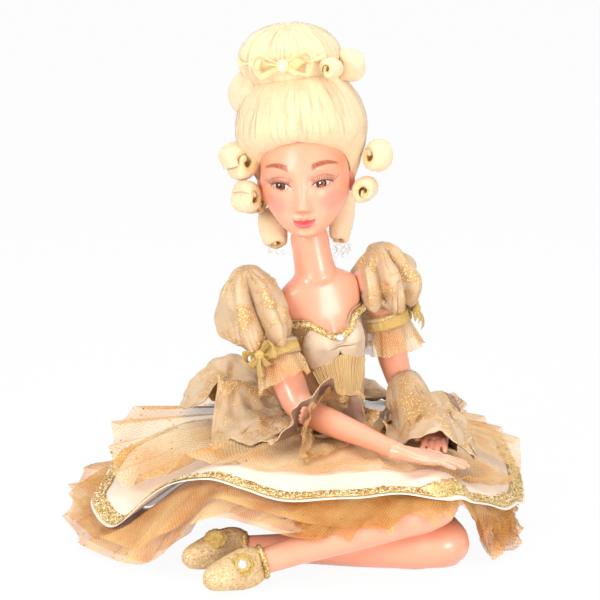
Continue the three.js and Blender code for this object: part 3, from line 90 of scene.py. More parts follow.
class Wire:
    """A node's output. Arithmetic on it adds Math nodes to its tree."""

    def __init__(self, web, socket):
        self.web, self.socket = web, socket

    def math(self, operation, *values):
        return self.web.add("ShaderNodeMath", {"operation": operation}, values)

    __add__, __radd__ = both_ways("ADD")
    __sub__, __rsub__ = both_ways("SUBTRACT")
    __mul__, __rmul__ = both_ways("MULTIPLY")
    __truediv__, __rtruediv__ = both_ways("DIVIDE")
    __pow__, __rpow__ = both_ways("POWER")

    def sin(self):
        return self.math("SINE", self)

    def size(self):
        return self.math("ABSOLUTE", self)

    def least(self, other):
        return self.math("MINIMUM", self, other)

    def most(self, other):
        return self.math("MAXIMUM", self, other)

    def below(self, limit, softness):
        """1 where the value is under the limit, 0 above it, with a soft edge."""
        return self.web.add(
            "ShaderNodeMapRange",
            {"interpolation_type": "SMOOTHSTEP"},
            {"Value": self, "From Min": limit - softness, "From Max": limit + softness, "To Min": 1.0, "To Max": 0.0},
        )

    def above(self, limit, softness):
        return 1 - self.below(limit, softness)


class Web:
    """A node tree. add() makes any node from its type, its settings and its sockets' values or links."""

    def __init__(self, tree):
        self.tree = tree

    def put(self, socket, value):
        if isinstance(value, Wire):
            self.tree.links.new(value.socket, socket)
        else:
            socket.default_value = value

    def add(self, kind, settings=None, values=(), out=0):
        node = self.tree.nodes.new(kind)
        for key, value in (settings or {}).items():
            if key == "stops":
                ramp = node.color_ramp.elements
                while len(ramp) < len(value):
                    ramp.new(1.0)
                for element, (place, colour) in zip(ramp, value):
                    element.position = place
                    element.color = (*colour, 1)
            else:
                setattr(node, key, value)
        for key, value in values.items() if isinstance(values, dict) else enumerate(values):
            self.put(node.inputs[key], value)
        return Wire(self, node.outputs[out])

    def place(self):
        return self.add("ShaderNodeTexCoord", out=3)

    def parts(self, vector):
        """The wires of a vector's X, Y and Z."""
        first = self.add("ShaderNodeSeparateXYZ", {}, [vector])
        return [Wire(self, out) for out in first.socket.node.outputs]

    def cloth(self):
        return self.add("ShaderNodeUVMap", {"uv_map": "cloth"})

    def stretched(self, vector, scale):
        return self.add("ShaderNodeMapping", {}, {"Vector": vector, "Scale": scale})

    def warped(self, vector, share, push):
        """A vector pushed part of the way to another."""
        return self.add("ShaderNodeMix", {"data_type": "VECTOR"}, {"Factor": share, 4: vector, 5: push}, out=1)

    def blend(self, share, first, second):
        """A colour between two colours or colour wires."""
        pair = [c if isinstance(c, Wire) else (*c, 1) for c in (first, second)]
        return self.add("ShaderNodeMix", {"data_type": "RGBA"}, {"Factor": share, 6: pair[0], 7: pair[1]}, out=2)

    def noise(self, place, scale, detail=3.0, rough=0.55, out=0):
        return self.add(
            "ShaderNodeTexNoise", {}, {"Vector": place, "Scale": scale, "Detail": detail, "Roughness": rough}, out=out
        )

    def clouded(self, place, scale, pale, deep, detail=3.0):
        """Two colours of 0 to 255 that drift into each other in clouds."""
        return self.blend(self.noise(place, scale, detail), srgb(*pale), srgb(*deep))

    def cells(self, place, scale, feature="F1", out=0):
        return self.add("ShaderNodeTexVoronoi", {"feature": feature}, {"Vector": place, "Scale": scale}, out=out)

    def bump(self, height, distance, strength=1.0):
        return self.add("ShaderNodeBump", {}, {"Height": height, "Distance": distance, "Strength": strength})


def srgb(r, g, b):
    """A colour read as 0 to 255, as the linear values that a shader takes."""
    return tuple(c / 12.92 if c <= 0.04045 else ((c + 0.055) / 1.055) ** 2.4 for c in (r / 255, g / 255, b / 255))


def new_material(name, surface=None, **constants):
    """A material with one principled surface. surface(web) returns its sockets' wires."""
    material = bpy.data.materials.new(name)
    material.use_nodes = True
    web = Web(material.node_tree)
    shader = material.node_tree.nodes["Principled BSDF"]
    for key, value in constants.items():
        shader.inputs[key.replace("_", " ")].default_value = value
    for key, value in (surface(web) if surface else {}).items():
        web.put(shader.inputs[key], value)
    return material


def shelf_surface(web):
    return {"Base Color": web.blend(web.noise(web.place(), 40.0), (0.9,) * 3, (0.93,) * 3)}


def looked_at(web):
    """1 for rays that look at the backdrop, and 0 for its light on the doll."""
    path = web.tree.nodes.new("ShaderNodeLightPath")
    seen, *others = (Wire(web, path.outputs["Is %s Ray" % kind]) for kind in ("Camera", "Glossy", "Transmission"))
    for other in others:
        seen = seen.most(other)
    return seen


white_shelf = new_material("white_shelf", shelf_surface, Roughness=0.6)
shelf_web = Web(white_shelf.node_tree)
shelf_nodes = white_shelf.node_tree.nodes
glow = shelf_web.add("ShaderNodeEmission", {}, {"Color": (1, 1, 1, 1), "Strength": 1.0})
lit = Wire(shelf_web, shelf_nodes["Principled BSDF"].outputs[0])
shelf_mix = shelf_web.add("ShaderNodeMixShader", {}, (looked_at(shelf_web) * 0.95, lit, glow))
shelf_web.put(shelf_nodes["Material Output"].inputs["Surface"], shelf_mix)

world = bpy.data.worlds.new("studio")
scene.world = world
world.use_nodes = True
studio = Web(world.node_tree)
background = world.node_tree.nodes["Background"]
background.inputs["Color"].default_value = (1, 1, 1, 1)
studio.put(background.inputs["Strength"], 0.5 + looked_at(studio) * 0.5)

SHELF_HALF = 3.0
shelf_mesh = bpy.data.meshes.new("shelf")
shelf_corners = [(SHELF_HALF * x, SHELF_HALF * y, 0) for x, y in ((-1, -1), (1, -1), (1, 1), (-1, 1))]
shelf_mesh.from_pydata(shelf_corners, [], [(0, 1, 2, 3)])
shelf_mesh.materials.append(white_shelf)
shelf = bpy.data.objects.new("shelf", shelf_mesh)
scene.collection.objects.link(shelf)


# Stuffed cloth body.
# A sewn cotton sack, stuffed firmly and sat flat, swelling at the hips and drawn in at the waist under the bodice.
# It carries the shoulder plate and the legs, and leans and turns with the torso.
WAIST_HEIGHT = 57.0
WAIST_SHIFT = -1.0
LEAN = math.radians(10)
TURN = math.radians(20)
WAIST_WIDTH, WAIST_DEPTH = 12.5, 9.5
PLATE_BOTTOM = 29.0


def turned(axis, angle):
    """The matrix that turns about X, Y or Z."""
    c, s = math.cos(angle), math.sin(angle)
    i, j = {"X": (1, 2), "Y": (2, 0), "Z": (0, 1)}[axis]
    m = np.eye(3)
    m[i, i], m[i, j], m[j, i], m[j, j] = c, -s, s, c
    return m


def through(*stops):
    """A smooth curve through (place, value) stops, for numbers and arrays."""
    xs, ys = np.array(stops, float).T
    last = len(xs) - 1
    slope = np.array(
        [
            (ys[min(i + 1, last)] - ys[max(i - 1, 0)]) / (xs[min(i + 1, last)] - xs[max(i - 1, 0)])
            for i in range(last + 1)
        ]
    )

    def value(place):
        x = np.clip(place, xs[0], xs[-1])
        i = np.clip(np.searchsorted(xs, x), 1, last)
        t = (x - xs[i - 1]) / (xs[i] - xs[i - 1])
        bend = (xs[i] - xs[i - 1]) * t * (1 - t)
        rise = ys[i - 1] + (ys[i] - ys[i - 1]) * t * t * (3 - 2 * t)
        return rise + bend * (slope[i - 1] * (1 - t) - slope[i] * t)

    return value


def circle(count):
    return np.linspace(0, 2 * math.pi, count + 1)[:-1]


def points(x, y, z):
    return np.stack(np.broadcast_arrays(x, y, z), -1).astype(float)


def bump_of(x, width):
    return np.exp(-((x / width) ** 2))


def ease(x, low, high):
    t = np.clip((x - low) / (high - low), 0, 1)
    return t * t * (3 - 2 * t)


def ripples(place, wave, seed):
    """Smooth random waves of about one wavelength, between -1 and 1, at any points."""
    random, count = np.random.default_rng(seed), 9
    heading = random.normal(size=(count, 3))
    heading /= np.linalg.norm(heading, axis=1)[:, None]
    pitch = 2 * math.pi / wave * random.uniform(0.6, 1.5, count)
    phase = random.uniform(0, 2 * math.pi, count)
    return np.sin(place @ (heading * pitch[:, None]).T + phase).sum(-1) / count**0.5 / 1.5


TORSO = turned("Y", -LEAN) @ turned("Z", TURN)
WAIST = np.array([WAIST_SHIFT, 0, WAIST_HEIGHT])


def on_torso(x, y, z):
    return points(x, y, z) @ TORSO.T + WAIST


torso_width = through(
    (0, WAIST_WIDTH), (14, 13.3), (PLATE_BOTTOM, 16.6), (50, 19.5), (64, 19.5), (68, 23), (81, 23), (89, 12)
)
torso_depth = through((0, WAIST_DEPTH), (14, 10), (PLATE_BOTTOM, 11.5), (50, 14), (68, 13), (81, 11.5), (89, 10))
ARMHOLE = 22.0
BUST_HEIGHT, BUST_APART, BUST_WIDE, BUST_FULL = 50, 9.5, 7, 7


def torso_skin(angle, z, out=0.0):
    """The body's surface at an angle round it and a height up it, that far out, with flat armholes."""
    x = np.cos(angle) * (torso_width(z) + out)
    y = np.sin(angle) * (torso_depth(z) + out)
    above, below = 13.0, 9.0
    swell = BUST_FULL * (bump_of(x - BUST_APART, BUST_WIDE) + bump_of(x + BUST_APART, BUST_WIDE))
    swell = swell * bump_of(z - BUST_HEIGHT, np.where(z > BUST_HEIGHT, above, below))
    return on_torso(np.clip(x, -ARMHOLE, ARMHOLE), y - swell * np.maximum(-np.sin(angle), 0), z)


def surface_mesh(name, grid, around=False, ends=False, pattern=None):
    """A mesh over a grid of points in millimetres. Its UV map is a given pattern, or metres along the cloth."""
    rows, columns = grid.shape[:2]
    vertices = grid.reshape(-1, 3) * MM
    i, j = np.meshgrid(np.arange(rows - 1), np.arange(columns if around else columns - 1), indexing="ij")
    i, j = i.ravel(), j.ravel()
    after = (j + 1) % columns
    faces = np.stack([i * columns + j, (i + 1) * columns + j, (i + 1) * columns + after, i * columns + after], 1)
    if pattern is None:
        wide = np.linalg.norm(np.diff(np.concatenate([grid, grid[:, :1]], 1), axis=1), axis=2).mean(0)
        tall = np.linalg.norm(np.diff(grid, axis=0), axis=2).mean(1)
        u = np.concatenate([[0], np.cumsum(wide)]) * MM
        v = np.concatenate([[0], np.cumsum(tall)]) * MM
        corners = [(u[j], v[i]), (u[j], v[i + 1]), (u[j + 1], v[i + 1]), (u[j + 1], v[i])]
    else:
        corners = [(pattern[a, b, 0], pattern[a, b, 1]) for a, b in ((i, j), (i + 1, j), (i + 1, after), (i, after))]
    uv = np.stack([np.stack(corner, -1) for corner in corners], 1).reshape(-1, 2)
    shapes = [list(face) for face in faces]
    if ends:
        shapes.append(list(range(columns)))
        shapes.append([(rows - 1) * columns + c for c in range(columns)][::-1])
        uv = np.concatenate([uv, np.zeros((2 * columns, 2))])
    mesh = bpy.data.meshes.new(name)
    mesh.from_pydata(vertices.tolist(), [], shapes)
    mesh.uv_layers.new(name="cloth").data.foreach_set("uv", uv.ravel())
    mesh.polygons.foreach_set("use_smooth", [True] * len(shapes))
    return mesh


def faced_outwards(mesh):
    """Turns a closed mesh's faces outwards."""
    shape = bmesh.new()
    shape.from_mesh(mesh)
    bmesh.ops.recalc_face_normals(shape, faces=shape.faces)
    shape.to_mesh(mesh)
    shape.free()
    return mesh


def closed_mesh(name, grid):
    return faced_outwards(surface_mesh(name, grid, around=True, ends=True))


def shade(mesh, smooth):
    mesh.polygons.foreach_set("use_smooth", [smooth] * len(mesh.polygons))
    return mesh


def holder_of(name, mesh):
    holder = bpy.data.objects.new(name, mesh)
    scene.collection.objects.link(holder)
    return holder


def plain_mesh(holder, name):
    """The mesh that an object's modifiers make. The object goes."""
    bpy.context.view_layer.update()
    made = bpy.data.meshes.new_from_object(holder.evaluated_get(bpy.context.evaluated_depsgraph_get()))
    made.name = name
    bpy.data.objects.remove(holder)
    return made


def piece(name, shape, material, body, nodes, thickness=0.0):
    """One finished piece on its body, from a mesh or a ring of points, standing for CAD nodes, which it hides. A
    thickness makes it solid cloth.
    """
    mesh = surface_mesh(name, shape, around=True) if isinstance(shape, np.ndarray) else shape
    mesh.materials.clear()
    mesh.materials.append(material)
    made = holder_of(name, mesh)
    if thickness:
        cloth = made.modifiers.new("cloth thickness", "SOLIDIFY")
        cloth.thickness = thickness * MM
        cloth.offset = 1
    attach(made, body)
    if nodes:
        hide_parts(*nodes)
    return made


def weave(web, uv, thread):
    """The height of a plain weave, from 0 to 1, with that many metres from thread to thread."""
    u, v, _ = web.parts(uv)
    across, along = (u * (math.pi / thread)).sin(), (v * (math.pi / thread)).sin()
    return (across * along + 1) * 0.5


def cotton_surface(web):
    uv = web.cloth()
    threads = weave(web, uv, 0.00045)
    slubs = web.noise(uv, 300.0)
    colour = web.blend(slubs, srgb(226, 210, 184), srgb(240, 228, 206))
    return {"Base Color": colour, "Normal": web.bump(threads + slubs, 0.0001)}


cotton = new_material("stuffed_cotton", cotton_surface, Roughness=0.85)
hip_width = through((0, 29), (16, 34), (35, 26), (48, 16.5), (WAIST_HEIGHT, WAIST_WIDTH))
hip_depth = through((0, 24), (16, 28), (35, 22), (48, 13.5), (WAIST_HEIGHT, WAIST_DEPTH))
round_about = circle(96)


def hip_ring(height):
    share = height / WAIST_HEIGHT
    frame_there = turned("Y", -LEAN * share * share) @ turned("Z", TURN)
    pucker = 0.25 * np.cos(24 * round_about) * bump_of(height - 52, 7)
    ring = points(
        np.cos(round_about) * (hip_width(height) + pucker), np.sin(round_about) * (hip_depth(height) + pucker), 0
    )
    return ring @ frame_there.T + np.array([WAIST_SHIFT * share, 0, height])


sack_rings = [hip_ring(h) for h in np.concatenate([[0, 0.6, 2], np.linspace(5, 55, 20)])]
sack_rings += [torso_skin(round_about, z) for z in np.linspace(0, PLATE_BOTTOM - 0.4, 12)]
sack = closed_mesh("cloth_sack", np.array(sack_rings))
cloth_sack = piece("cloth_sack", sack, cotton, "body", ["cloth_body"])


# Shoulder plate and neck.
# One hollow casting in painted resin: bust, shoulders with flat armholes, and a post with a domed top for the head.
# Its lower edge is glued over the sack. The painted skin has a gloss lacquer over it.
NECK_RADIUS, NECK_TOP = 11.0, 117.0
OFF_SHELF = 0.05
SKIN = srgb(244, 174, 142)
SKIN_DEEP = srgb(234, 148, 116)


def skin_surface(web):
    place = web.place()
    cloud = web.noise(place, 45.0, 2.0)
    pores = web.noise(place, 900.0, 2.0)
    colour = web.blend(cloud * 0.55, SKIN, SKIN_DEEP)
    height = web.noise(place, 160.0, 2.0)
    return {
        "Base Color": colour,
        "Roughness": 0.3 + pores * 0.12,
        "Normal": web.bump(height * 0.7 + pores * 0.3, 0.00035, 0.5),
    }


skin_paint = new_material(
    "painted_skin", skin_surface, Subsurface_Weight=0.12, Subsurface_Scale=0.004, Coat_Weight=0.5, Coat_Roughness=0.2
)


def joined_mesh(name, *meshes):
    """One mesh that holds all the given closed meshes."""
    shape = bmesh.new()
    for mesh in meshes:
        shape.from_mesh(mesh)
    whole = bpy.data.meshes.new(name)
    shape.to_mesh(whole)
    shape.free()
    return whole


def cast(name, voxel, rounds, *meshes):
    """The given closed meshes grown together into one skin and smoothed, as a casting is."""
    raw = holder_of(name, joined_mesh(name, *meshes))
    remesh = raw.modifiers.new("one skin", "REMESH")
    remesh.mode = "VOXEL"
    remesh.voxel_size = voxel * MM
    remesh.use_smooth_shade = True
    relax = raw.modifiers.new("relax", "SMOOTH")
    relax.factor, relax.iterations = 0.5, rounds
    return plain_mesh(raw, name)


def set_down(mesh):
    """The part of a closed mesh above the shelf, with the cut filled flat."""
    shape = bmesh.new()
    shape.from_mesh(mesh)
    everything = list(shape.verts) + list(shape.edges) + list(shape.faces)
    cut = bmesh.ops.bisect_plane(
        shape, geom=everything, dist=1e-7, plane_co=Vector((0, 0, OFF_SHELF)) * MM, plane_no=(0, 0, 1), clear_inner=True
    )
    rim = [e for e in cut["geom_cut"] if isinstance(e, bmesh.types.BMEdge)]
    bmesh.ops.holes_fill(shape, edges=rim, sides=0)
    shape.to_mesh(mesh)
    shape.free()
    return shade(mesh, True)


plate_heights = np.concatenate([np.linspace(PLATE_BOTTOM, 66, 26), np.linspace(66.7, 84, 18), np.linspace(85, 89, 8)])
plate_grid = np.array([torso_skin(round_about, z) for z in plate_heights])
neck_profile = np.array(
    [
        (NECK_RADIUS - 0.5, 80), (NECK_RADIUS + 1.6, 86), (NECK_RADIUS + 0.4, 91), (NECK_RADIUS - 0.2, 97),
        (NECK_RADIUS - 0.4, 104), (NECK_RADIUS - 0.5, 110), (NECK_RADIUS - 2.4, 114), (NECK_RADIUS - 6, NECK_TOP - 0.7),
        (1, NECK_TOP),
    ]
)
neck_fine = np.linspace(0, len(neck_profile) - 1, 49)
neck_radii = np.interp(neck_fine, np.arange(len(neck_profile)), neck_profile[:, 0])
neck_heights = np.interp(neck_fine, np.arange(len(neck_profile)), neck_profile[:, 1])
neck_grid = np.array(
    [on_torso(r * np.cos(round_about), r * np.sin(round_about), z) for r, z in zip(neck_radii, neck_heights)]
)
plate_mesh = cast("shoulder_plate", 0.8, 7, closed_mesh("plate", plate_grid), closed_mesh("neck", neck_grid))
piece("shoulder_plate", plate_mesh, skin_paint, "body", ["breastplate"])


# Shoulder pins.
# A steel dowel through each armhole, on which the arm turns. It is hidden by the plate and the arm.
# The dowels are turned and left bright, with fine marks round them.
def steel_surface(web):
    place = web.place()
    stretched = web.stretched(place, (2500, 120, 120))
    marks = web.noise(stretched, 1.0)
    return {"Base Color": web.blend(marks, (0.42, 0.42, 0.43), (0.6, 0.6, 0.61)), "Roughness": 0.25 + marks * 0.2}


steel = new_material("turned_steel", steel_surface, Metallic=1.0)
for side in ("right", "left"):
    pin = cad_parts[side + "_shoulder_pin"]
    pin.data.materials.clear()
    pin.data.materials.append(steel)


# Legs.
# Each leg is one resin casting, thigh to ankle, with a rounded knee and a full calf, painted like the arms.
# They are folded in front of the seat, the doll's right shin lying over and before the left one.
RIGHT_KNEE, RIGHT_ANKLE = np.array([52.0, -94, 38]), np.array([-47.0, -117, 12])
LEFT_KNEE, LEFT_ANKLE = np.array([58.0, -84, 11.1]), np.array([-57.0, -88, 11])
KNEE_SOFTENING = 0.16


def spline(stations, count):
    """Evenly spaced points on a smooth path through stations, tight at its corners."""
    p = [np.array(s, float) for s in stations]
    p = [2 * p[0] - p[1], *p, 2 * p[-1] - p[-2]]
    fine = []
    for a, b, c, d in zip(p, p[1:], p[2:], p[3:]):
        da, db, dc = (max(np.linalg.norm(q - r) ** 0.5, 1e-6) for q, r in ((b, a), (c, b), (d, c)))
        ta = ((b - a) / da - (c - a) / (da + db) + (c - b) / db) * db
        tb = ((c - b) / db - (d - b) / (db + dc) + (d - c) / dc) * db
        t = np.linspace(0, 1, 33)[:-1, None]
        fine.append(
            (2 * t**3 - 3 * t**2 + 1) * b + (t**3 - 2 * t**2 + t) * ta + (3 * t**2 - 2 * t**3) * c + (t**3 - t**2) * tb
        )
    fine = np.concatenate([*fine, [p[-2]]])
    run = np.concatenate([[0], np.cumsum(np.linalg.norm(np.diff(fine, axis=0), axis=1))])
    even = np.linspace(0, run[-1], count)
    return np.stack([np.interp(even, run, fine[:, k]) for k in range(3)], 1)


def bent_stations(start, bend, end, softening, bow=None):
    before, after = bend + (start - bend) * softening, bend + (end - bend) * softening
    inner = bend + ((before + after) / 2 - bend) * 0.35
    upper = (start + before) / 2 + (0 if bow is None else bow)
    return [start, upper, before, inner, after, (after + end) / 2, end]


def unit(v):
    return v / np.linalg.norm(v, axis=-1, keepdims=True)


def beside(way):
    """The level direction across a way, and the one above it."""
    across = unit(np.cross([0, 0, 1], way))
    return across, np.cross(way, across)


def round_way(a, across, up):
    """The directions at angles a, from across towards up."""
    return np.cos(a)[..., None] * across + np.sin(a)[..., None] * up


def tube_grid(path, radii, sides=32, normal=None, squash=1.0):
    """Rings round a path that bends in one plane. Radii are one number each, or one for each ring."""
    along = unit(np.gradient(path, axis=0))
    middle = len(path) // 2
    if normal is None:
        normal = unit(np.cross(path[middle] - path[0], path[-1] - path[middle]))
    across = unit(np.cross(along, normal))
    up = unit(np.cross(across, along))
    a = circle(sides)[None, :, None]
    r = np.broadcast_to(radii, len(path))[:, None, None]
    return path[:, None] + r * (np.cos(a) * across[:, None] - squash * np.sin(a) * up[:, None])


leg_radius = through((0, 14), (0.3, 13.5), (0.5, 11.5), (0.56, 11.5), (0.7, 10.4), (0.88, 7.8), (1, 6.8))


def hip_at(side):
    return np.array([side * 15, -12 + side * 5, 20]) @ turned("Z", TURN).T


leg_along = np.linspace(0, 1, 90)
leg_paths = {
    "right": spline(bent_stations(hip_at(-1), RIGHT_KNEE, RIGHT_ANKLE, KNEE_SOFTENING), 90),
    "left": spline(bent_stations(hip_at(1), LEFT_KNEE, LEFT_ANKLE, KNEE_SOFTENING), 90),
}
for side, leg_path in leg_paths.items():
    knee_cap = 0.9 * bump_of(leg_along - 0.53, 0.035)
    leg = closed_mesh("leg", tube_grid(leg_path, leg_radius(leg_along) + knee_cap, 48))
    piece(side + "_leg_casting", set_down(leg), skin_paint, "body", [side + "_leg"])


# Slippers.
# Gold lace over a soft sole, closed round the ankle, each with a lace rosette; the right one has a cut stone.
# The toes lie to the doll's right, the left slipper behind the right one.
SHOE_LENGTH = 42.0
SHOE_HEIGHT = 11.0
shoe_height = through((0, 4), (0.12, 9), (0.35, 11), (0.7, 8), (0.93, 5.5), (1, 2.5))
shoe_width = through((0, 3.5), (0.12, 7.1), (0.35, 8.6), (0.68, 9.6), (0.93, 5.5), (1, 2.5))
toe_direction = {"right": unit(np.array([-0.72, -0.69, -0.04])), "left": unit(np.array([-0.8, -0.6, -0.05]))}
shoe_at = {
    "right": np.array([RIGHT_ANKLE[0] - 3, RIGHT_ANKLE[1] - 1, SHOE_HEIGHT - 0.2]),
    "left": np.array([LEFT_ANKLE[0] - 3, LEFT_ANKLE[1], SHOE_HEIGHT + 1.5]),
}


def lace_surface(web):
    place = web.place()
    warped = web.warped(place, 0.004, web.add("ShaderNodeTexNoise", {}, {"Vector": place, "Scale": 220.0}, out=1))
    eyelets = web.cells(warped, 620.0).below(0.3, 0.08)
    scroll = (web.noise(place, 260.0, 1.0) * 26).sin().above(0.35, 0.35)
    threads = web.noise(place, 1800.0, 1.0)
    ground = web.blend(scroll * 0.55, srgb(216, 172, 116), srgb(244, 216, 158))
    ground = web.blend(threads * 0.35, ground, srgb(252, 238, 204))
    return {
        "Base Color": web.blend(eyelets * 0.45, ground, srgb(178, 130, 74)),
        "Metallic": scroll * 0.3,
        "Normal": web.bump(scroll * 0.8 - eyelets * 0.6 + threads * 0.3, 0.0004),
    }


gold_lace = new_material("gold_lace", lace_surface, Roughness=0.5)


def shoe_grid(side):
    toe = toe_direction[side]
    across, up = beside(toe)
    heel = shoe_at[side] - toe * SHOE_LENGTH * 0.22
    u = np.linspace(0, 1, 60)
    a = circle(56)
    centre = heel + toe * SHOE_LENGTH * u[:, None]
    welt = 1 + 0.05 * bump_of(np.sin(a) + 0.75, 0.14)
    wide = shoe_width(u)[:, None] * np.cos(a) * welt
    tall = shoe_height(u)[:, None] * np.sin(a) * welt
    return centre[:, None] + wide[..., None] * across + tall[..., None] * up


for side in ("right", "left"):
    shoe = set_down(closed_mesh("shoe", shoe_grid(side)))
    piece(side + "_slipper", shoe, gold_lace, "body", [side + "_shoe"])


# Petticoat and its net flounces.
# Stiff net gathered under the waist seam holds the skirts off the seat, with three full flounces on its edge.
# The net has a mesh of a millimetre and a half, a peach tint and scattered foil flecks.
SKIRT_TOP, SKIRT_FALL, LAYER_GAP, CLOTH = 60.0, 1.8, 1.5, 0.8
HEM_BAND_WIDTH, HEM_MARGIN = 6.5, 1.6
SEAM_OUT = 4.2
NOTHING_THERE = -1e3
NET_MESH = 0.0015
FRONT = 1.5 * math.pi
AROUND = circle(432)
leg_spots = [(p, r) for route in leg_paths.values() for p, r in zip(route[::3], leg_radius(leg_along)[::3])]
leg_spots += [
    (shoe_at[side] + toe_direction[side] * SHOE_LENGTH * u, SHOE_HEIGHT)
    for side in ("right", "left")
    for u in np.linspace(-0.1, 0.65, 8)
]


def softly_above(a, b, softness):
    return (a + b + np.hypot(a - b, softness)) / 2


def off_square(place, spot):
    """The level distance between places and a spot, squared."""
    return (place[..., 0] - spot[0]) ** 2 + (place[..., 1] - spot[1]) ** 2


def over_legs(place):
    height = np.full(place.shape[:-1], NOTHING_THERE)
    for spot, r in leg_spots:
        height = np.maximum(height, spot[2] + r - off_square(place, spot) / (2 * r))
    return height


def polar(place):
    """The angle and distance of places about the waist's middle."""
    x, y = place[..., 0] - WAIST_SHIFT, place[..., 1]
    return np.arctan2(y, x), np.hypot(x, y)


def wrapped(angle):
    return np.arctan2(np.sin(angle), np.cos(angle))


class Hem:
    """A hem through points round the waist: its reach from the waist's middle and its height, at any angle."""

    def __init__(self, *stations):
        stations = np.array(stations, float)
        angle, reach = polar(stations)
        order = np.argsort(angle)
        angle, reach, z = angle[order], reach[order], stations[order, 2]
        wide = np.concatenate([angle[-2:] - 2 * math.pi, angle, angle[:2] + 2 * math.pi])
        self.reach_at = through(*zip(wide, np.concatenate([reach[-2:], reach, reach[:2]])))
        self.height_at = through(*zip(wide, np.concatenate([z[-2:], z, z[:2]])))

    def reach(self, angle):
        return self.reach_at(wrapped(angle))

    def height(self, angle):
        return self.height_at(wrapped(angle))


satin_hem = Hem(
    (98, -38, 20), (100, 8, 25), (90, 55, 34), (55, 92, 26), (4, 108, 36), (-50, 100, 24), (-98, 70, 36),
    (-128, 28, 30), (-139, -10, 21), (-140, -40, 17), (-126, -67, 18), (-97, -92, 45), (-75, -104, 54),
    (-56, -112, 50), (-25, -120, 45.5), (2, -119, 47), (28, -116, 47.5), (52, -108, 43.5), (76, -86, 34),
)
flounce_hem = Hem(
    (98, -16, 9), (97, -40, 2.5), (91, -61, 2.5), (82, -76, 2.5), (72, -92, 3), (64, -104, 9), (50, -114, 18),
    (28, -119, 19), (-4, -122, 22), (-25, -127, 26), (-50, -124, 32), (-74, -114, 34), (-98, -104, 14),
    (-114, -97, 3), (-133, -80, 2.5), (-146, -60, 2.5), (-158, -24, 8), (-158, 2, 17), (-152, 36, 10),
    (-126, 76, 4), (-82, 106, 10), (-30, 118, 4), (22, 115, 11), (68, 97, 4), (93, 60, 11), (100, 22, 5),
)


def waist_reach(angle):
    """How far the skirts' waist seam lies from the waist's middle: an oval that turns with the torso."""
    wide, deep, local = WAIST_WIDTH + SEAM_OUT, WAIST_DEPTH + SEAM_OUT, angle - TURN
    return wide * deep / np.hypot(deep * np.cos(local), wide * np.sin(local))


def at_angle(angle, reach, z):
    return points(WAIST_SHIFT + reach * np.cos(angle), reach * np.sin(angle), z)


def lining_height(angle, reach):
    """The surface that every skirt layer lies above: the fall to the hem, lifted over the legs, with soft folds."""
    share = np.clip(reach / satin_hem.reach(angle), 0, 1)
    fall = SKIRT_TOP + (satin_hem.height(angle) - SKIRT_TOP) * share**SKIRT_FALL
    place = at_angle(angle, reach, 0)
    from_front = np.abs(wrapped(angle - FRONT))
    flutes = 1.6 * share**3 * np.cos(13 * angle) * ease(from_front, 0.5, 1)
    waves = 0.9 * share * ripples(place, 34.0, 11)
    return softly_above(fall - LAYER_GAP - CLOTH + flutes + waves, over_legs(place) + 2.8, 6 * (1 - share) + 0.4)


def skirt_reach(angle, share):
    inner = waist_reach(angle)
    return inner + (satin_hem.reach(angle) - HEM_BAND_WIDTH - HEM_MARGIN - inner) * share


def skirt_row(reach, lift):
    return at_angle(AROUND, reach, lining_height(AROUND, reach) + lift)


def folds(angle, count, seed):
    """Crisp folds, unevenly spaced: 1 along a ridge and 0 in the hollow between two."""
    random = np.random.default_rng(seed)
    wander = sum(random.uniform(0.1, 0.45) * np.sin(k * angle + random.uniform(0, 6.28)) for k in range(1, 6))
    return 1 - np.abs(np.sin(count * angle / 2 + 2.4 * wander)) ** 0.8


def gathers(angle, along, seed, count, depth, width, length):
    """How far creases sink into a gathered edge, where along is 0. They fade at a distance of length."""
    random = np.random.default_rng(seed)
    sunk = np.zeros(np.broadcast(angle, along).shape)
    for _ in range(count):
        at, bend, run = random.uniform(0, 2 * math.pi), random.normal(0, 0.12), length * random.uniform(0.4, 1)
        off = np.abs(wrapped(angle - at - bend * along))
        open_width = width * random.uniform(0.6, 1.5) * (0.4 + along)
        sunk += depth * random.uniform(0.4, 1) * np.exp(-off / open_width) * (1 - ease(along, run * 0.4, run))
    return sunk


def net_mesh(web, uv):
    """The threads of a net with diamond meshes, 1 on a thread and 0 in a hole."""
    u, v, _ = web.parts(uv)
    one = ((u + v * 0.6) * (math.pi / NET_MESH)).sin().size()
    other = ((u - v * 0.6) * (math.pi / NET_MESH)).sin().size()
    return one.least(other).below(0.24, 0.2)


def net_look(web, pale, deep, cover, flecks):
    """A net's threads, tint and foil flecks. cover is how much of a hole its fluff fills."""
    uv = web.cloth()
    threads = net_mesh(web, uv)
    grain = web.cells(uv, 330.0)
    pick = web.parts(web.cells(uv, 330.0, out=1))
    foil = grain.below(0.2, 0.04) * pick[0].above(1 - flecks, 0.01)
    dark = grain.below(0.16, 0.03) * pick[1].above(1 - flecks * 0.3, 0.01)
    dust = web.noise(uv, 1500.0, 1.0).above(0.66, 0.04)
    colour = web.blend(web.noise(uv, 42.0).above(0.5, 0.16), pale, deep)
    colour = web.blend(threads * 0.15, colour, deep)
    colour = web.blend(dust * 0.55, colour, srgb(255, 238, 190))
    colour = web.blend(foil * 0.9, colour, srgb(206, 156, 50))
    colour = web.blend(dark, colour, srgb(96, 64, 30))
    alpha = cover + threads * 0.5 + dust * 0.25 + foil + dark
    return {
        "Base Color": colour,
        "Alpha": alpha.least(1.0),
        "Metallic": foil * 0.6,
        "Normal": web.bump(threads + dust, 0.0002),
    }


def net_material(name, pale, deep, cover, flecks, roughness):
    return new_material(name, lambda web: net_look(web, srgb(*pale), srgb(*deep), cover, flecks), Roughness=roughness)


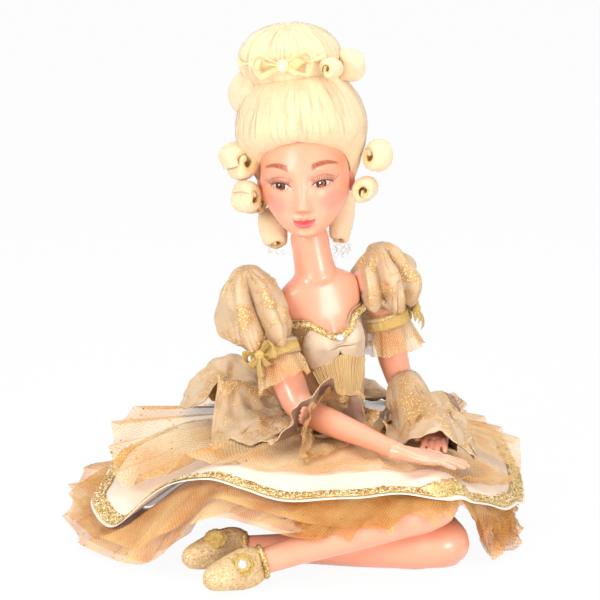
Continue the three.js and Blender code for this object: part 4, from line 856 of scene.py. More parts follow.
petticoat_net = net_material("petticoat_net", (254, 204, 130), (226, 148, 64), 0.46, 0.25, 0.7)

petticoat_end = skirt_reach(AROUND, 0.88)
petticoat_rows = [skirt_row(skirt_reach(AROUND, share), 0) for share in np.linspace(0, 0.88, 30)]
piece("petticoat_gathers", np.array(petticoat_rows), petticoat_net, "body", ["petticoat"])


def flounce_grid(level, reach_share, rise, ruffle, count, seed):
    """A gathered flounce from the petticoat's edge, with folds that sweep round and open into points at its hem."""
    bunch = bump_of(wrapped(AROUND + 0.6), 0.3)
    inner = petticoat_end + 0.5
    end = inner + (flounce_hem.reach(AROUND) - 3 - inner) * reach_share
    grid = []
    for s in np.linspace(0, 1, 28):
        fold = folds(AROUND + 0.16 * s, count, seed)
        frill = bunch * np.sin(30 * AROUND + 3 * np.sin(5 * s + seed))
        reach = inner + (end - inner) * s + ruffle * s**1.3 * (2.2 * fold - 0.9) + 4 * s * frill
        place = at_angle(AROUND, reach, 0)
        top = lining_height(AROUND, inner)
        hem = flounce_hem.height(AROUND) + rise + ruffle * 1.1 * fold
        own = top + (hem - top) * s**1.35 + 4.5 * bunch * s * np.cos(30 * AROUND + 1.5 + 2 * level)
        legs = over_legs(place) + 1.6
        under = lining_height(AROUND, np.minimum(reach, satin_hem.reach(AROUND))) - 1.2 * s - 0.6 - 0.6 * level
        place[..., 2] = np.maximum(np.minimum(np.maximum(own, legs), under), 0.5)
        grid.append(place)
    return np.array(grid)


# Each flounce: its share of the hem's reach, how far it rises, its ruffles' size, their count and its draw of folds.
FLOUNCES = {
    "net_flounce": (1.0, 0.0, 2.8, 30, 5),
    "net_flounce_upper": (0.96, 9.0, 2.6, 23, 8),
    "net_flounce_under": (0.82, 1.0, 3.0, 36, 9),
}
for level, (name, form) in enumerate(FLOUNCES.items()):
    nodes = [] if level else ["petticoat_flounce"]
    piece(name, flounce_grid(level, *form), petticoat_net, "body", nodes)


# Satin skirt and its glitter band.
# A circle of ivory duchesse satin, sewn to the waist and lying over the lap and the net in soft waves.
# A braid of gold glitter glued along it leaves a narrow edge of satin.
def satin_surface(web):
    uv = web.cloth()
    warp = weave(web, uv, 0.00022)
    sheen = web.noise(uv, 22.0, 2.0)
    place = web.place()
    creases = web.noise(place, 55.0, 3.0)
    return {
        "Base Color": web.blend(sheen, srgb(254, 240, 220), srgb(249, 228, 204)),
        "Roughness": 0.34 + sheen * 0.14,
        "Normal": web.bump(creases * 0.9 + warp * 0.1, 0.0016, 0.5),
    }


ivory_satin = new_material("ivory_satin", satin_surface, Sheen_Weight=0.25, Sheen_Roughness=0.4)
SATIN_LIFT = CLOTH + LAYER_GAP + CLOTH * 0.5
satin_rows = [skirt_row(skirt_reach(AROUND, share), SATIN_LIFT) for share in np.linspace(0, 1, 44)]
band_rows = np.linspace(satin_hem.reach(AROUND) - HEM_BAND_WIDTH - HEM_MARGIN, satin_hem.reach(AROUND), 9)
satin_rows += [skirt_row(reach, SATIN_LIFT) for reach in band_rows[1:]]
satin_grid = np.array(satin_rows)
piece("satin_overskirt", satin_grid, ivory_satin, "body", ["satin_skirt"], thickness=0.5)


def glitter_surface(web):
    place = web.place()
    grains = web.parts(web.cells(place, 1500.0, out=1))
    # Each grain is painted a random gold from dark to pale: painted glints and shade standing for the glitter's
    # sparkle.
    colour = web.blend(grains[0], srgb(178, 126, 40), srgb(255, 236, 166))
    return {"Base Color": colour, "Metallic": 0.15 + grains[1] * 0.4, "Roughness": 0.2 + grains[2] * 0.3,
            "Normal": web.bump(grains[0], 0.0004)}


gold_glitter = new_material("gold_glitter", glitter_surface)


def flake_surface(web):
    place = web.place()
    pick = web.parts(web.cells(place, 900.0, out=1))
    # Each flake is painted a random gold from dark brown to near white: painted glints and shade on the flakes.
    golds = ((0.0, (104, 66, 14)), (0.3, (196, 138, 42)), (0.55, (250, 210, 112)), (0.75, (255, 252, 232)))
    stops = [(place, srgb(*gold)) for place, gold in golds]
    colour = web.add("ShaderNodeValToRGB", {"stops": stops}, {"Fac": pick[0]})
    return {"Base Color": colour, "Metallic": pick[1] * 0.4}


gold_flake = new_material("gold_flake", flake_surface, Roughness=0.22)


def geometry_tree(name, **inputs):
    """A geometry tree with a surface or path coming in and named number inputs, and the wires of both."""
    tree = bpy.data.node_groups.new(name, "GeometryNodeTree")
    tree.interface.new_socket("Geometry", in_out="INPUT", socket_type="NodeSocketGeometry")
    for title, value in inputs.items():
        kind = "NodeSocketInt" if isinstance(value, int) else "NodeSocketFloat"
        tree.interface.new_socket(title, in_out="INPUT", socket_type=kind).default_value = value
    tree.interface.new_socket("Geometry", in_out="OUTPUT", socket_type="NodeSocketGeometry")
    entry, exit_node = tree.nodes.new("NodeGroupInput"), tree.nodes.new("NodeGroupOutput")
    web = Web(tree)
    return web, [Wire(web, out) for out in entry.outputs], exit_node.inputs[0]


def grown(name, mesh, tree, **inputs):
    """The plain mesh that a geometry tree makes of a mesh."""
    holder = holder_of(name, mesh)
    grow = holder.modifiers.new(name, "NODES")
    grow.node_group = tree
    for item in tree.interface.items_tree:
        if item.in_out == "INPUT" and item.name in inputs:
            grow[item.identifier] = inputs[item.name]
    return plain_mesh(holder, name)


flake_web, (flake_in, flake_size, flake_density, flake_seed, *_), flake_out = geometry_tree(
    "glitter_flakes", size=0.0009, density=1.6e6, seed=3
)
scatter = flake_web.add(
    "GeometryNodeDistributePointsOnFaces", {}, {"Mesh": flake_in, "Density": flake_density, "Seed": flake_seed}
)
leaf_sockets = {"Size X": flake_size, "Size Y": flake_size * 0.7, "Vertices X": 2, "Vertices Y": 2}
leaf = flake_web.add("GeometryNodeMeshGrid", {}, leaf_sockets)
toss_sockets = {0: (-0.75, -0.75, 0), 1: (0.75, 0.75, 6.28), "Seed": 4}
toss = flake_web.add("FunctionNodeRandomValue", {"data_type": "FLOAT_VECTOR"}, toss_sockets)
points_rotation = Wire(flake_web, scatter.socket.node.outputs["Rotation"])
tilted = flake_web.add("FunctionNodeRotateRotation", {"rotation_space": "LOCAL"}, {0: points_rotation, 1: toss})
spread = flake_web.add("GeometryNodeInstanceOnPoints", {}, {"Points": scatter, "Instance": leaf, "Rotation": tilted})
real = flake_web.add("GeometryNodeRealizeInstances", {}, [spread])
flake_web.put(flake_out, flake_web.add("GeometryNodeSetMaterial", {}, {"Geometry": real, "Material": gold_flake}))
glitter_flakes = flake_web.tree

hem_band = satin_grid[-9:-1] + np.array([0, 0, CLOTH * 0.5 + 0.75])
hem_band = hem_band + 0.12 * np.random.default_rng(6).normal(size=hem_band.shape)
piece("hem_glitter_band", hem_band, gold_glitter, "body", ["hem_trim"], thickness=0.5)
flakes_base = surface_mesh("flakes_base", hem_band + np.array([0, 0, 0.55]), around=True)
hem_flakes = grown("hem_flakes", flakes_base, glitter_flakes, size=0.00085, density=1.9e6, seed=3)
piece("hem_glitter_flakes", hem_flakes, gold_flake, "body", [])


def satin_height(place):
    angle, reach = polar(place)
    past = np.maximum(reach - satin_hem.reach(angle), 0)
    return lining_height(angle, reach) + 2 * CLOTH + LAYER_GAP - past * 3


# Net overskirt.
# Tan tulle printed with gold foil flecks, open at the front, gathered at the waist and standing out in crisp folds.
# It lies over the satin and leaves the hem bare. Over the lap one layer of it lies flat.
def layer_grid(hem, start, end, columns, rows, top, fall, crest, under, clear, inner, points_out=0.0):
    """Part of a round skirt layer between two angles in degrees, lying above what is under it."""
    degrees = np.linspace(start, end, columns)
    a = np.radians(degrees)
    grid = []
    for share in np.linspace(0, 1, rows):
        low = waist_reach(a) + inner
        reach = low + (hem.reach(a) + points_out * folds(a, 22, 14) - low) * share
        own = top + (hem.height(a) - top) * share**fall + crest(degrees, share)
        place = at_angle(a, reach, 0)
        place[..., 2] = softly_above(own, under(place) + clear, 1.5)
        grid.append(place)
    return np.array(grid)


overskirt_net = net_material("overskirt_net", (255, 222, 168), (240, 176, 96), 0.42, 0.35, 0.65)
net_hem = Hem(
    (97, -22, 33), (99, 10, 38), (80, 52, 42), (48, 86, 40), (0, 98, 46), (-48, 92, 44), (-90, 56, 52),
    (-124, 32, 53), (-130, -4, 44), (-122, -44, 34), (-101, -68, 42), (-80, -82, 57), (-56, -90, 54), (0, -90, 50),
    (70, -70, 44),
)
NET_TOP, NET_FALL, NET_INNER = SKIRT_TOP + 3.5, 1.5, 1.2


def net_crest(degrees, share):
    a = np.radians(degrees)
    return 2 * share * np.cos(10 * a) + 5.5 * share**1.3 * folds(a, 22, 14) + 1.2 * share * folds(a, 61, 15)


net_grid = layer_grid(
    net_hem, -9, 237, columns=330, rows=40, top=NET_TOP, fall=NET_FALL, crest=net_crest, under=satin_height,
    clear=LAYER_GAP + 0.2, inner=NET_INNER, points_out=3.0,
)
piece("flecked_overskirt", surface_mesh("flecked_overskirt", net_grid), overskirt_net, "body", ["net_overskirt"])

# The layer over the lap lies flat on the satin, because its own fall is far below it.
lap_net = layer_grid(
    net_hem, -128, -8, columns=170, rows=44, top=-50, fall=1, crest=lambda degrees, share: 0, under=satin_height,
    clear=0.0, inner=NET_INNER,
)
lap_net = lap_net + np.array([0, 0, 0.5])
lap_fold = folds(polar(lap_net)[0], 30, 19) * np.linspace(0.2, 1, 44)[:, None]
lap_net[..., 2] += 0.35 * np.abs(ripples(lap_net, 7.0, 18)) + 0.3 + 2.2 * lap_fold
piece("lap_net", surface_mesh("lap_net", lap_net), overskirt_net, "body", [])


def net_height(place):
    angle, reach = polar(place)
    inner = waist_reach(angle) + NET_INNER
    share = (reach - inner) / (net_hem.reach(angle) - inner)
    along = np.clip(share, 0, 1)
    own = NET_TOP + (net_hem.height(angle) - NET_TOP) * along**NET_FALL + net_crest(np.degrees(angle), along)
    return softly_above(own, satin_height(place) + LAYER_GAP, 1.5) + CLOTH - np.maximum(share - 1, 0) * 300


# Brocade drapes.
# Taupe satin brocade with a woven gold scroll, lined with gold tissue, drawn up in a puff at the doll's right side.
# A lower swag of it crosses behind. Both are stitched under the bodice's edge.
def brocade_look(web):
    uv = web.cloth()
    bent = web.warped(uv, 0.016, web.noise(uv, 55.0, 2.0, out=1))
    field = web.noise(bent, 46.0, 2.0, 0.5)
    scroll = (field * 34).sin().above(0.1, 0.35) * field.above(0.44, 0.04)
    sprig = web.cells(bent, 80.0, "SMOOTH_F1").below(0.42, 0.08) * web.noise(uv, 30.0).above(0.47, 0.05)
    motif = scroll.most(sprig)
    u, v, _ = web.parts(uv)
    ribs = (u * (math.pi / 0.0004)).sin().size()
    threads = web.noise(web.stretched(uv, (1150, 760, 1)), 1.0, 1.0)
    gold_thread = threads.above(0.52, 0.06) * (0.25 + motif * 0.75)
    # Painted glints: the brightest specks of the gold threads are painted pale.
    bright = threads.above(0.58, 0.04) * (0.2 + motif * 0.8)
    ground = web.clouded(uv, 24.0, (228, 202, 170), (200, 166, 128), 2.0)
    ground = web.blend(motif * 0.7, ground, srgb(206, 150, 74))
    colour = web.blend(gold_thread * 0.9, ground, srgb(168, 112, 40))
    return {
        "Base Color": web.blend(bright * 0.9, colour, srgb(255, 236, 178)),
        "Metallic": gold_thread * 0.3,
        "Roughness": 0.46 - motif * 0.1,
        "Normal": web.bump(motif * 0.5 + ribs * 0.25 + gold_thread * 0.3, 0.0004, 0.8),
    }


gold_brocade = new_material("gold_brocade", brocade_look, Sheen_Weight=0.2)


def tissue_surface(web):
    uv = web.cloth()
    threads = weave(web, uv, 0.0005)
    colour = web.clouded(uv, 40.0, (204, 158, 92), (168, 118, 58))
    colour = web.blend(threads * 0.35, colour, srgb(238, 200, 130))
    return {"Base Color": colour, "Normal": web.bump(threads, 0.0002)}


gold_tissue = new_material("gold_tissue", tissue_surface, Roughness=0.42, Metallic=0.2)


def lined_piece(name, shape, outside, inside, body, nodes, thickness=0.6):
    """A piece of cloth with its lining on the back."""
    made = piece(name, shape, outside, body, nodes, thickness)
    made.data.materials.append(inside)
    made.modifiers["cloth thickness"].material_offset = 1
    return made


drape_hem = Hem(
    (88, -14, 44), (86, 22, 46), (64, 54, 50), (30, 72, 46), (-8, 80, 50), (-46, 70, 46), (-74, 50, 58),
    (-92, 26, 66), (-90, 4, 66), (-71, -14, 84), (-75, -32, 54), (-73, -48, 50), (-50, -64, 53), (0, -60, 58),
    (60, -50, 54),
)
DRAPE_TOP, DRAPE_FALL, DRAPE_INNER = SKIRT_TOP + 8.5, 1.6, 4.0
DRAPE_RIGHT_FROM, DRAPE_RIGHT_TO = 128, 232
puff_crest = through((128, 12), (148, 20), (164, 24), (180, 15), (194, 4), (206, 9), (220, 6), (233, 1))
swag_crest = through((40, 0), (58, 6), (80, 12), (104, 12), (126, 12))


def drape_crest(crest):
    def rise(degrees, share):
        a = np.radians(degrees)
        swag = crest(degrees) * np.sin(math.pi * share**1.4) + 2 * share * np.cos(9 * a)
        return swag + 2.6 * share * folds(a, 26, 41) - gathers(a, share, 42, 90, 1.6, 0.03, 0.7) * ease(share, 0, 0.1)

    return rise


def drape_grid(start, end, inner, crest, seed):
    grid = layer_grid(
        drape_hem, start, end, columns=220, rows=80, top=DRAPE_TOP, fall=DRAPE_FALL, crest=drape_crest(crest),
        under=net_height, clear=0.6, inner=inner,
    )
    share = np.linspace(0, 1, 80)[:, None]
    soft = 2.6 * ripples(grid * np.array([1, 1, 0.5]), 26.0, seed) + 1.1 * ripples(grid, 11.0, seed + 1)
    crush = np.abs(ripples(grid, 17.0, seed + 2)) ** 0.7 * 1.6
    grid = grid + grid_normals(grid) * (np.maximum(soft + crush + 1.0, 0) * ease(share, 0, 0.2))[..., None]
    grid[..., 2] = np.maximum(grid[..., 2], net_height(grid) + 0.5)
    return grid


def grid_normals(grid, around=False):
    """Unit normals of a grid's surface."""
    if around:
        across = np.roll(grid, -1, 1) - np.roll(grid, 1, 1)
    else:
        across = np.gradient(grid, axis=1)
    n = np.cross(across, np.gradient(grid, axis=0))
    size = np.linalg.norm(n, axis=-1, keepdims=True)
    return n / np.maximum(size, 1e-9)


for name, node, start, end, inner, crest, seed in (
    ("puffed_drape", "drape_right", DRAPE_RIGHT_FROM, DRAPE_RIGHT_TO, DRAPE_INNER, puff_crest, 21),
    ("back_swag", "drape_back", 40, 126, 2.0, swag_crest, 31),
):
    drape = surface_mesh(name, drape_grid(start, end, inner, crest, seed))
    lined_piece(name, drape, gold_brocade, gold_tissue, "body", [node])


def drape_top(place):
    """The height of the puffed drape's outside, or 0 where there is none."""
    angle, reach = polar(place)
    degrees = np.degrees(angle) % 360
    inner = waist_reach(angle) + DRAPE_INNER
    share = (reach - inner) / (drape_hem.reach(angle) - inner)
    along = np.clip(share, 0, 1)
    fall = (drape_hem.height(angle) - DRAPE_TOP) * along**DRAPE_FALL
    own = DRAPE_TOP + fall + drape_crest(puff_crest)(degrees, along)
    top = softly_above(own, net_height(place) + 0.6, 1.5) + CLOTH + 4.0
    away = (degrees < DRAPE_RIGHT_FROM - 2) | (degrees > DRAPE_RIGHT_TO + 2) | (share > 1.06)
    return np.where(away, 0.0, top)


# Bodice.
# Brocade cut close over the sack and the plate, stiffened, to a V in front, with two satin cups sewn over the bust.
# A fan of gold-threaded pleats spreads from the waist, and a braid of gold glitter with a cut stone edges the neck.
BODICE_BOTTOM, BODICE_IN, BODICE_THICKNESS = 4.5, 1.4, 1.2
BODICE_OUT = BODICE_IN + BODICE_THICKNESS
NECKLINE_DIP, NECKLINE_SIDE, BRAID_DROP = 56.0, 66.0, 2.1


def neckline(angle):
    return NECKLINE_DIP + (NECKLINE_SIDE - NECKLINE_DIP) * ease(np.abs(angle - FRONT), 0, 0.75)


def along_torso(bottom, top, rows, columns, out):
    share = np.linspace(0, 1, rows)[:, None]
    a = circle(columns)[None, :]
    return torso_skin(a, bottom + (top(a) - bottom) * share, out)


shell_grid = along_torso(BODICE_BOTTOM, neckline, 60, 180, BODICE_IN + 0.3)
piece("bodice_shell", shell_grid, gold_brocade, "body", ["bodice"], thickness=0.9)

CUP_SATIN = srgb(252, 232, 206)


def cup_surface(web):
    uv = web.cloth()
    threads = weave(web, uv, 0.00025)
    glints = web.noise(uv, 1500.0, 1.0).above(0.66, 0.05)
    cloud = web.noise(uv, 60.0)
    colour = web.blend(cloud, CUP_SATIN, srgb(238, 206, 172))
    return {"Base Color": web.blend(glints * 0.5, colour, srgb(214, 168, 98)), "Roughness": 0.3 + cloud * 0.15,
            "Normal": web.bump(threads * 0.4 + cloud, 0.0004)}


cup_satin = new_material("cup_satin", cup_surface, Sheen_Weight=0.2)


def cup_grid(side):
    """One bust cup: a disc that crowns over the bust, its upper edge under the neckline."""
    r = np.linspace(0.02, 1, 26)[:, None]
    t = circle(96)[None, :]
    across = FRONT + side * 0.47 + 0.5 * r * np.cos(t)
    z = 48.5 + 13.5 * r * np.sin(t) - 2.2 * r * np.cos(t) * side * (np.sin(t) < 0)
    z = np.minimum(z, neckline(across) - 2.4)
    crown = 1.9 * (1 - r**2.4) + 0.35
    puckers = 0.22 * np.cos(20 * t) * r**3
    return torso_skin(across, z, BODICE_OUT + crown + puckers)


SIDES = {-1: "right", 1: "left"}
for side, label in SIDES.items():
    piece(label + "_cup", cup_grid(side)[::-1], cup_satin, "body", [], thickness=0.35)


def pleat_surface(web):
    uv = web.cloth()
    u, v, _ = web.parts(uv)
    lines = (u * (math.pi * 2 * 48)).sin()
    stitches = web.noise(uv, 700.0, 1.0)
    glints = web.noise(uv, 1900.0, 1.0).above(0.58, 0.08)
    colour = web.blend(lines * 0.5 + 0.5, srgb(238, 186, 122), srgb(255, 230, 178))
    colour = web.blend(glints * 0.6, colour, srgb(250, 220, 150))
    return {"Base Color": colour, "Metallic": glints * 0.35, "Normal": web.bump(lines * 0.6 + stitches * 0.4, 0.0004)}


pleat_lame = new_material("pleat_lame", pleat_surface, Roughness=0.42)
PLEATS, PLEATS_FROM = 17, 7


def pleat_grid():
    side = np.linspace(-1, 1, PLEATS * 12 + 1)[None, :]
    share = np.linspace(0, 1, 40)[:, None]
    top = 41.5 - 5.0 * (side * side) + 2.2 * np.exp(-((side / 0.22) ** 2))
    z = PLEATS_FROM + (top - PLEATS_FROM) * share
    angle = FRONT + side * (0.42 + 0.43 * (z - PLEATS_FROM) / 33)
    ridge = 0.9 * np.abs(np.sin(side * math.pi * PLEATS / 2)) ** 0.7 * (0.35 + 0.65 * share)
    return torso_skin(angle, z, BODICE_OUT + 0.7 + ridge), side, share


pleat_points, pleat_side, pleat_share = pleat_grid()
pleat_uv = np.stack(np.broadcast_arrays((pleat_side + 1) / 2, pleat_share * 0.034), -1)
fan_mesh = surface_mesh("bodice_fan", pleat_points[::-1], pattern=pleat_uv[::-1])
piece("bodice_fan", fan_mesh, pleat_lame, "body", ["bodice_pleats"], thickness=0.4)

trim_angle = np.linspace(math.pi + 0.5, 2 * math.pi - 0.34, 90)
trim_path = torso_skin(trim_angle, neckline(trim_angle) - BRAID_DROP, BODICE_OUT + 1.9)
braid_grid = tube_grid(trim_path, 1.6 + 0.15 * np.sin(np.arange(90) * 2.1), 14, normal=unit(TORSO[:, 2]))
neck_braid = closed_mesh("neck_braid", braid_grid)
piece("neckline_braid", neck_braid, gold_glitter, "body", ["neckline_trim"])
braid_flakes = grown("braid_flakes", neck_braid.copy(), glitter_flakes, size=0.0008, density=1.5e6, seed=5)
piece("neckline_flakes", braid_flakes, gold_flake, "body", [])

# The stone is painted near white or grey-blue in random cells: painted reflections in its facets.
cut_glass = new_material(
    "cut_glass",
    lambda web: {
        "Base Color": web.blend(
            web.parts(web.cells(web.place(), 700.0, out=1))[0], (0.95, 0.95, 0.98), (0.62, 0.66, 0.72)
        )
    },
    Roughness=0.05,
    Metallic=0.35,
    Coat_Weight=1.0,
)


def gem_mesh(name, radius, height, centre, facing):
    """A round stone cut with a table, two rows of facets and a flat back."""
    facing = unit(np.array(facing, float))
    across, up = beside(facing)
    rings = []
    for share, rise, twist in ((0.96, 0, 0), (1, 0.22, 0), (0.86, 0.55, 0.5), (0.52, 1, 0)):
        a = (np.arange(10) + twist) * 2 * math.pi / 10
        rings.append(centre + radius * share * round_way(a, across, up) + facing * height * rise)
    return shade(closed_mesh(name, np.array(rings)), False)


stone_at = torso_skin(FRONT, NECKLINE_DIP - BRAID_DROP, BODICE_OUT + 3.6)
neckline_gem = gem_mesh("neckline_gem", 2.2, 1.7, stone_at, -TORSO[:, 1])
piece("neckline_gem", neckline_gem, cut_glass, "body", ["neckline_stone"])


# Arms.
# Each arm is one casting with its hand, hung on its shoulder pin and turning at the flat armhole.
# The right hand lies on the lap to the doll's left, and the left one rests over it.
SHOULDER_HEIGHT, SHOULDER_HALF_WIDTH, BALL_OFFSET, BALL_RADIUS = 76.0, 22.0, 31.5, 10.2
ELBOWS = {-1: np.array([-27.0, -33, 75]), 1: np.array([32.0, 16, 77])}
WRISTS = {-1: np.array([28.0, -83, 63]), 1: np.array([50.0, -34, 66.5])}
PALM_REACH = {-1: np.array([0.93, -0.35, -0.1]), 1: np.array([-0.08, -0.97, -0.22])}
FINGER_REACH = {-1: np.array([0.93, -0.33, -0.16]), 1: np.array([-0.2, -0.95, -0.22])}
PALM_LENGTH, FINGER_LENGTH, FINGER_RADIUS, FINGER_SPACING = 22.0, 17.0, 1.9, 1.95
arm_radius = through((0, 8.8), (0.22, 9.6), (0.4, 8.7), (0.5, 7.8), (0.66, 7.3), (0.88, 5.3), (1, 4.8))
ARM_STEPS = 161
ARM_GAP = 0.35
arm_along = np.linspace(0, 1, ARM_STEPS)
arm_paths = {}
for side in SIDES:
    shoulder = on_torso(side * BALL_OFFSET, 0, SHOULDER_HEIGHT)
    arm_paths[side] = spline(
        bent_stations(shoulder, ELBOWS[side], WRISTS[side], 0.24, bow=TORSO[:, 0] * side * 2.2), ARM_STEPS
    )


def closed_tube(name, path, radii, sides=24, normal=None, squash=1.0):
    return closed_mesh(name, tube_grid(path, radii, sides, normal, squash))


def ball_mesh(name, centre, radius, rows=24):
    b = np.linspace(0.04, math.pi - 0.04, rows)[:, None]
    a = circle(2 * rows)[None, :]
    shape = points(np.sin(b) * np.cos(a), np.sin(b) * np.sin(a), np.cos(b))
    return closed_mesh(name, centre + radius * shape)


def hand_meshes(side):
    """A flat hand: a tapering palm, four fingers with rounded tips and knuckles, and a thumb beside them."""
    wrist, thumb_side = WRISTS[side], -side
    along = unit(PALM_REACH[side])
    across, up = beside(along)
    palm_width = through((-0.2, 4.8), (0, 4.8), (0.4, 6.8), (0.85, 7.4), (1, 6.2), (1.06, 4.5))
    palm_depth = through((-0.2, 4.4), (0, 4.2), (0.4, 3.7), (1, 2.7), (1.06, 1.6))
    u = np.linspace(-0.2, 1.06, 30)[:, None]
    a = circle(40)[None, :]
    palm = (
        wrist
        + PALM_LENGTH * u[..., None] * along
        + (palm_width(u) * np.cos(a))[..., None] * across
        + (palm_depth(u) * np.sin(a))[..., None] * up
    )
    meshes = [closed_mesh("palm", palm)]
    for i, length in enumerate((0.86, 1.0, 0.96, 0.78)):
        shift = (i - 1.5) * FINGER_RADIUS * FINGER_SPACING * -thumb_side
        base = wrist + along * PALM_LENGTH * 0.8 + across * shift
        bend = unit(FINGER_REACH[side]) + across * shift * 0.03
        knuckle = base + along * FINGER_LENGTH * 0.35 * length + up * 0.6
        middle = base + along * FINGER_LENGTH * 0.65 * length + up * 0.5
        tip = middle + bend * FINGER_LENGTH * 0.62 * length - up * 0.8
        route = spline([base, knuckle, middle, (middle + tip) / 2 - up * 0.1, tip], 30)
        t = np.linspace(0, 1, 30)
        thick = through((0, 2.0), (0.35, 1.95), (0.6, 1.8), (0.9, 1.5), (0.97, 1.0), (1, 0.4))(t)
        thick = 0.88 * thick + 0.16 * bump_of(t - 0.38, 0.06) + 0.1 * bump_of(t - 0.68, 0.05)
        meshes.append(closed_tube("finger", route, thick, 14, normal=up, squash=0.92))
    base = wrist + along * PALM_LENGTH * 0.26 + across * thumb_side * 3.6
    tip = wrist + along * PALM_LENGTH * 0.98 + across * thumb_side * 10.2
    bend = base + (tip - base) * 0.5 + across * thumb_side * 1.5
    route = spline([base, bend, base + (tip - base) * 0.78 + across * thumb_side * 0.6, tip], 26)
    thick = through((0, 3.1), (0.4, 2.4), (0.7, 2.1), (0.92, 1.6), (1, 0.5))(np.linspace(0, 1, 26))
    meshes.append(closed_tube("thumb", route, thick, 14, normal=up))
    return meshes


for side, label in SIDES.items():
    limb = closed_tube("limb", arm_paths[side], arm_radius(arm_along), 40)
    ball = ball_mesh("ball", arm_paths[side][0], BALL_RADIUS)
    arm = cast(label + "_arm_casting", 0.48, 3, limb, ball, *hand_meshes(side))
    flat_side = -side * (SHOULDER_HALF_WIDTH + ARM_GAP) * MM
    shoulder_axis, waist_at = TORSO[:, 0] * side, WAIST * MM
    # The shoulder's side that meets the armhole is pressed flat.
    for vertex in arm.vertices:
        past_face = float((np.array(vertex.co) - waist_at) @ shoulder_axis) + flat_side
        near = (np.array(vertex.co) - arm_paths[side][0] * MM) @ (arm_paths[side][0] * MM - np.array(vertex.co))
        if past_face < 0 and near > -((BALL_RADIUS + 3) * MM) ** 2:
            vertex.co -= Vector(shoulder_axis) * past_face
    piece(label + "_arm_casting", arm, skin_paint, "arm_" + label, [label + "_arm"])


# Puff sleeves.
# A full puff of brocade gathered into the armhole and into a band above the elbow, where it falls in deep folds.
# Stiff net inside holds it out. It moves with its arm.
BAND_RADIUS, BAND_HEIGHT, BAND_PLACE = 14.5, 8.0, 0.2
# Each puff: its middle, and its half width, half depth and half height.
PUFFS = {
    -1: (on_torso(-40, -1, 75), 17.5, 21.0, 25.0),
    1: (on_torso(39, 0, 73), 16.5, 20.0, 21.5),
}
# Each deep fold: its angle in degrees, the share of the way down where it starts, its depth and its width.
DEEP_FOLDS = {
    -1: ((252, 0.12, 12.0, 0.2), (200, 0.55, 3.5, 0.16), (130, 0.3, 4, 0.2)),
    1: ((236, 0.2, 7.5, 0.18), (290, 0.08, 8.0, 0.18), (50, 0.3, 4, 0.2)),
}


def arm_frame(side, u):
    """The middle of an arm at a share of its length, its direction, and the two directions across it."""
    path = arm_paths[side]
    place = u * (ARM_STEPS - 1)
    centre = np.array([np.interp(place, np.arange(ARM_STEPS), path[:, k]) for k in range(3)])
    i = int(np.clip(round(place), 1, ARM_STEPS - 2))
    along = unit(path[i + 1] - path[i - 1])
    across = unit(TORSO[:, 0] - along * (TORSO[:, 0] @ along))
    return centre, along, across, np.cross(along, across)


def pushed_out(side, grid, inset=0.0, slope=0.0):
    """The points moved clear of the torso's flat armhole, or of a plane that leaves it above the bust."""
    inside = (grid - WAIST) @ TORSO
    limit = SHOULDER_HALF_WIDTH + 0.5 + inset + slope * np.maximum(inside[..., 2] - 64, 0)
    inside[..., 0] = side * np.maximum(side * inside[..., 0], limit)
    return inside @ TORSO.T + WAIST


SLEEVE_COLUMNS, PUFF_ROWS = 320, 64
SLEEVE_SLOPE = 0.12


def sleeve_grid(side):
    middle, wide, deep, tall = PUFFS[side]
    band_centre, along, across, back = arm_frame(side, BAND_PLACE)
    neck_centre = band_centre - along * BAND_HEIGHT / 2
    a = circle(SLEEVE_COLUMNS)
    rings = []
    for degrees in np.linspace(1.2, 124, PUFF_ROWS):
        b = math.radians(degrees)
        drop = float(ease(degrees, 60, 150))
        centre = middle + TORSO[:, 2] * tall * (math.cos(b) + 0.06 * math.exp(-((degrees / 30) ** 2)))
        centre = centre + (neck_centre + TORSO[:, 2] * 4 - centre) * drop * 0.5
        waisted = 0.14 * math.exp(-((degrees - 22) / 20) ** 2)
        size = math.sin(b) * (1 - waisted + 0.06 * math.exp(-((degrees - 85) / 25) ** 2))
        rings.append(
            centre + (wide * size * np.cos(a))[:, None] * TORSO[:, 0] + (deep * size * np.sin(a))[:, None] * TORSO[:, 1]
        )
    lip = neck_centre + (BAND_RADIUS - 0.6) * round_way(a, across, back)
    last = rings[-1]
    rings += [last + (lip - last) * (t * t * (3 - 2 * t)) ** 0.8 for t in np.linspace(0, 1, 11)[1:]]
    rings += [lip + along * BAND_HEIGHT * t for t in (0.3, 0.7, 1)]
    grid = pushed_out(side, np.array(rings), 0.3, SLEEVE_SLOPE)
    v = np.linspace(0, 1, len(rings))[:, None]
    sunk = gathers(a, v, 70 + side, 24, 1.6, 0.08, 0.6) + gathers(a, 0.86 - v, 74 + side, 52, 2.6, 0.05, 0.5)
    for at, start, depth, width in DEEP_FOLDS[side]:
        off = np.abs(wrapped(a - math.radians(at) - 0.25 * (v - 0.5)))
        fold = np.exp(-((off / width) ** 1.5)) - 0.35 * bump_of(off - 1.9 * width, width)
        sunk = sunk + depth * fold * ease(v, start, start + 0.3)
    soft = 2.2 * ripples(grid, 21.0, 40 + side) + 1.0 * ripples(grid, 10.0, 43 + side)
    fade = ease(v, 0, 0.25) * (1 - ease(v, 0.8, 0.88))
    grid = grid - grid_normals(grid, True) * ((soft + 0.9 - sunk) * fade)[..., None]
    return pushed_out(side, grid, 0.3, SLEEVE_SLOPE)


for side, label in SIDES.items():
    sleeve = sleeve_grid(side)
    piece(label + "_puff_sleeve", sleeve, gold_brocade, "arm_" + label, [label + "_sleeve"], thickness=0.5)


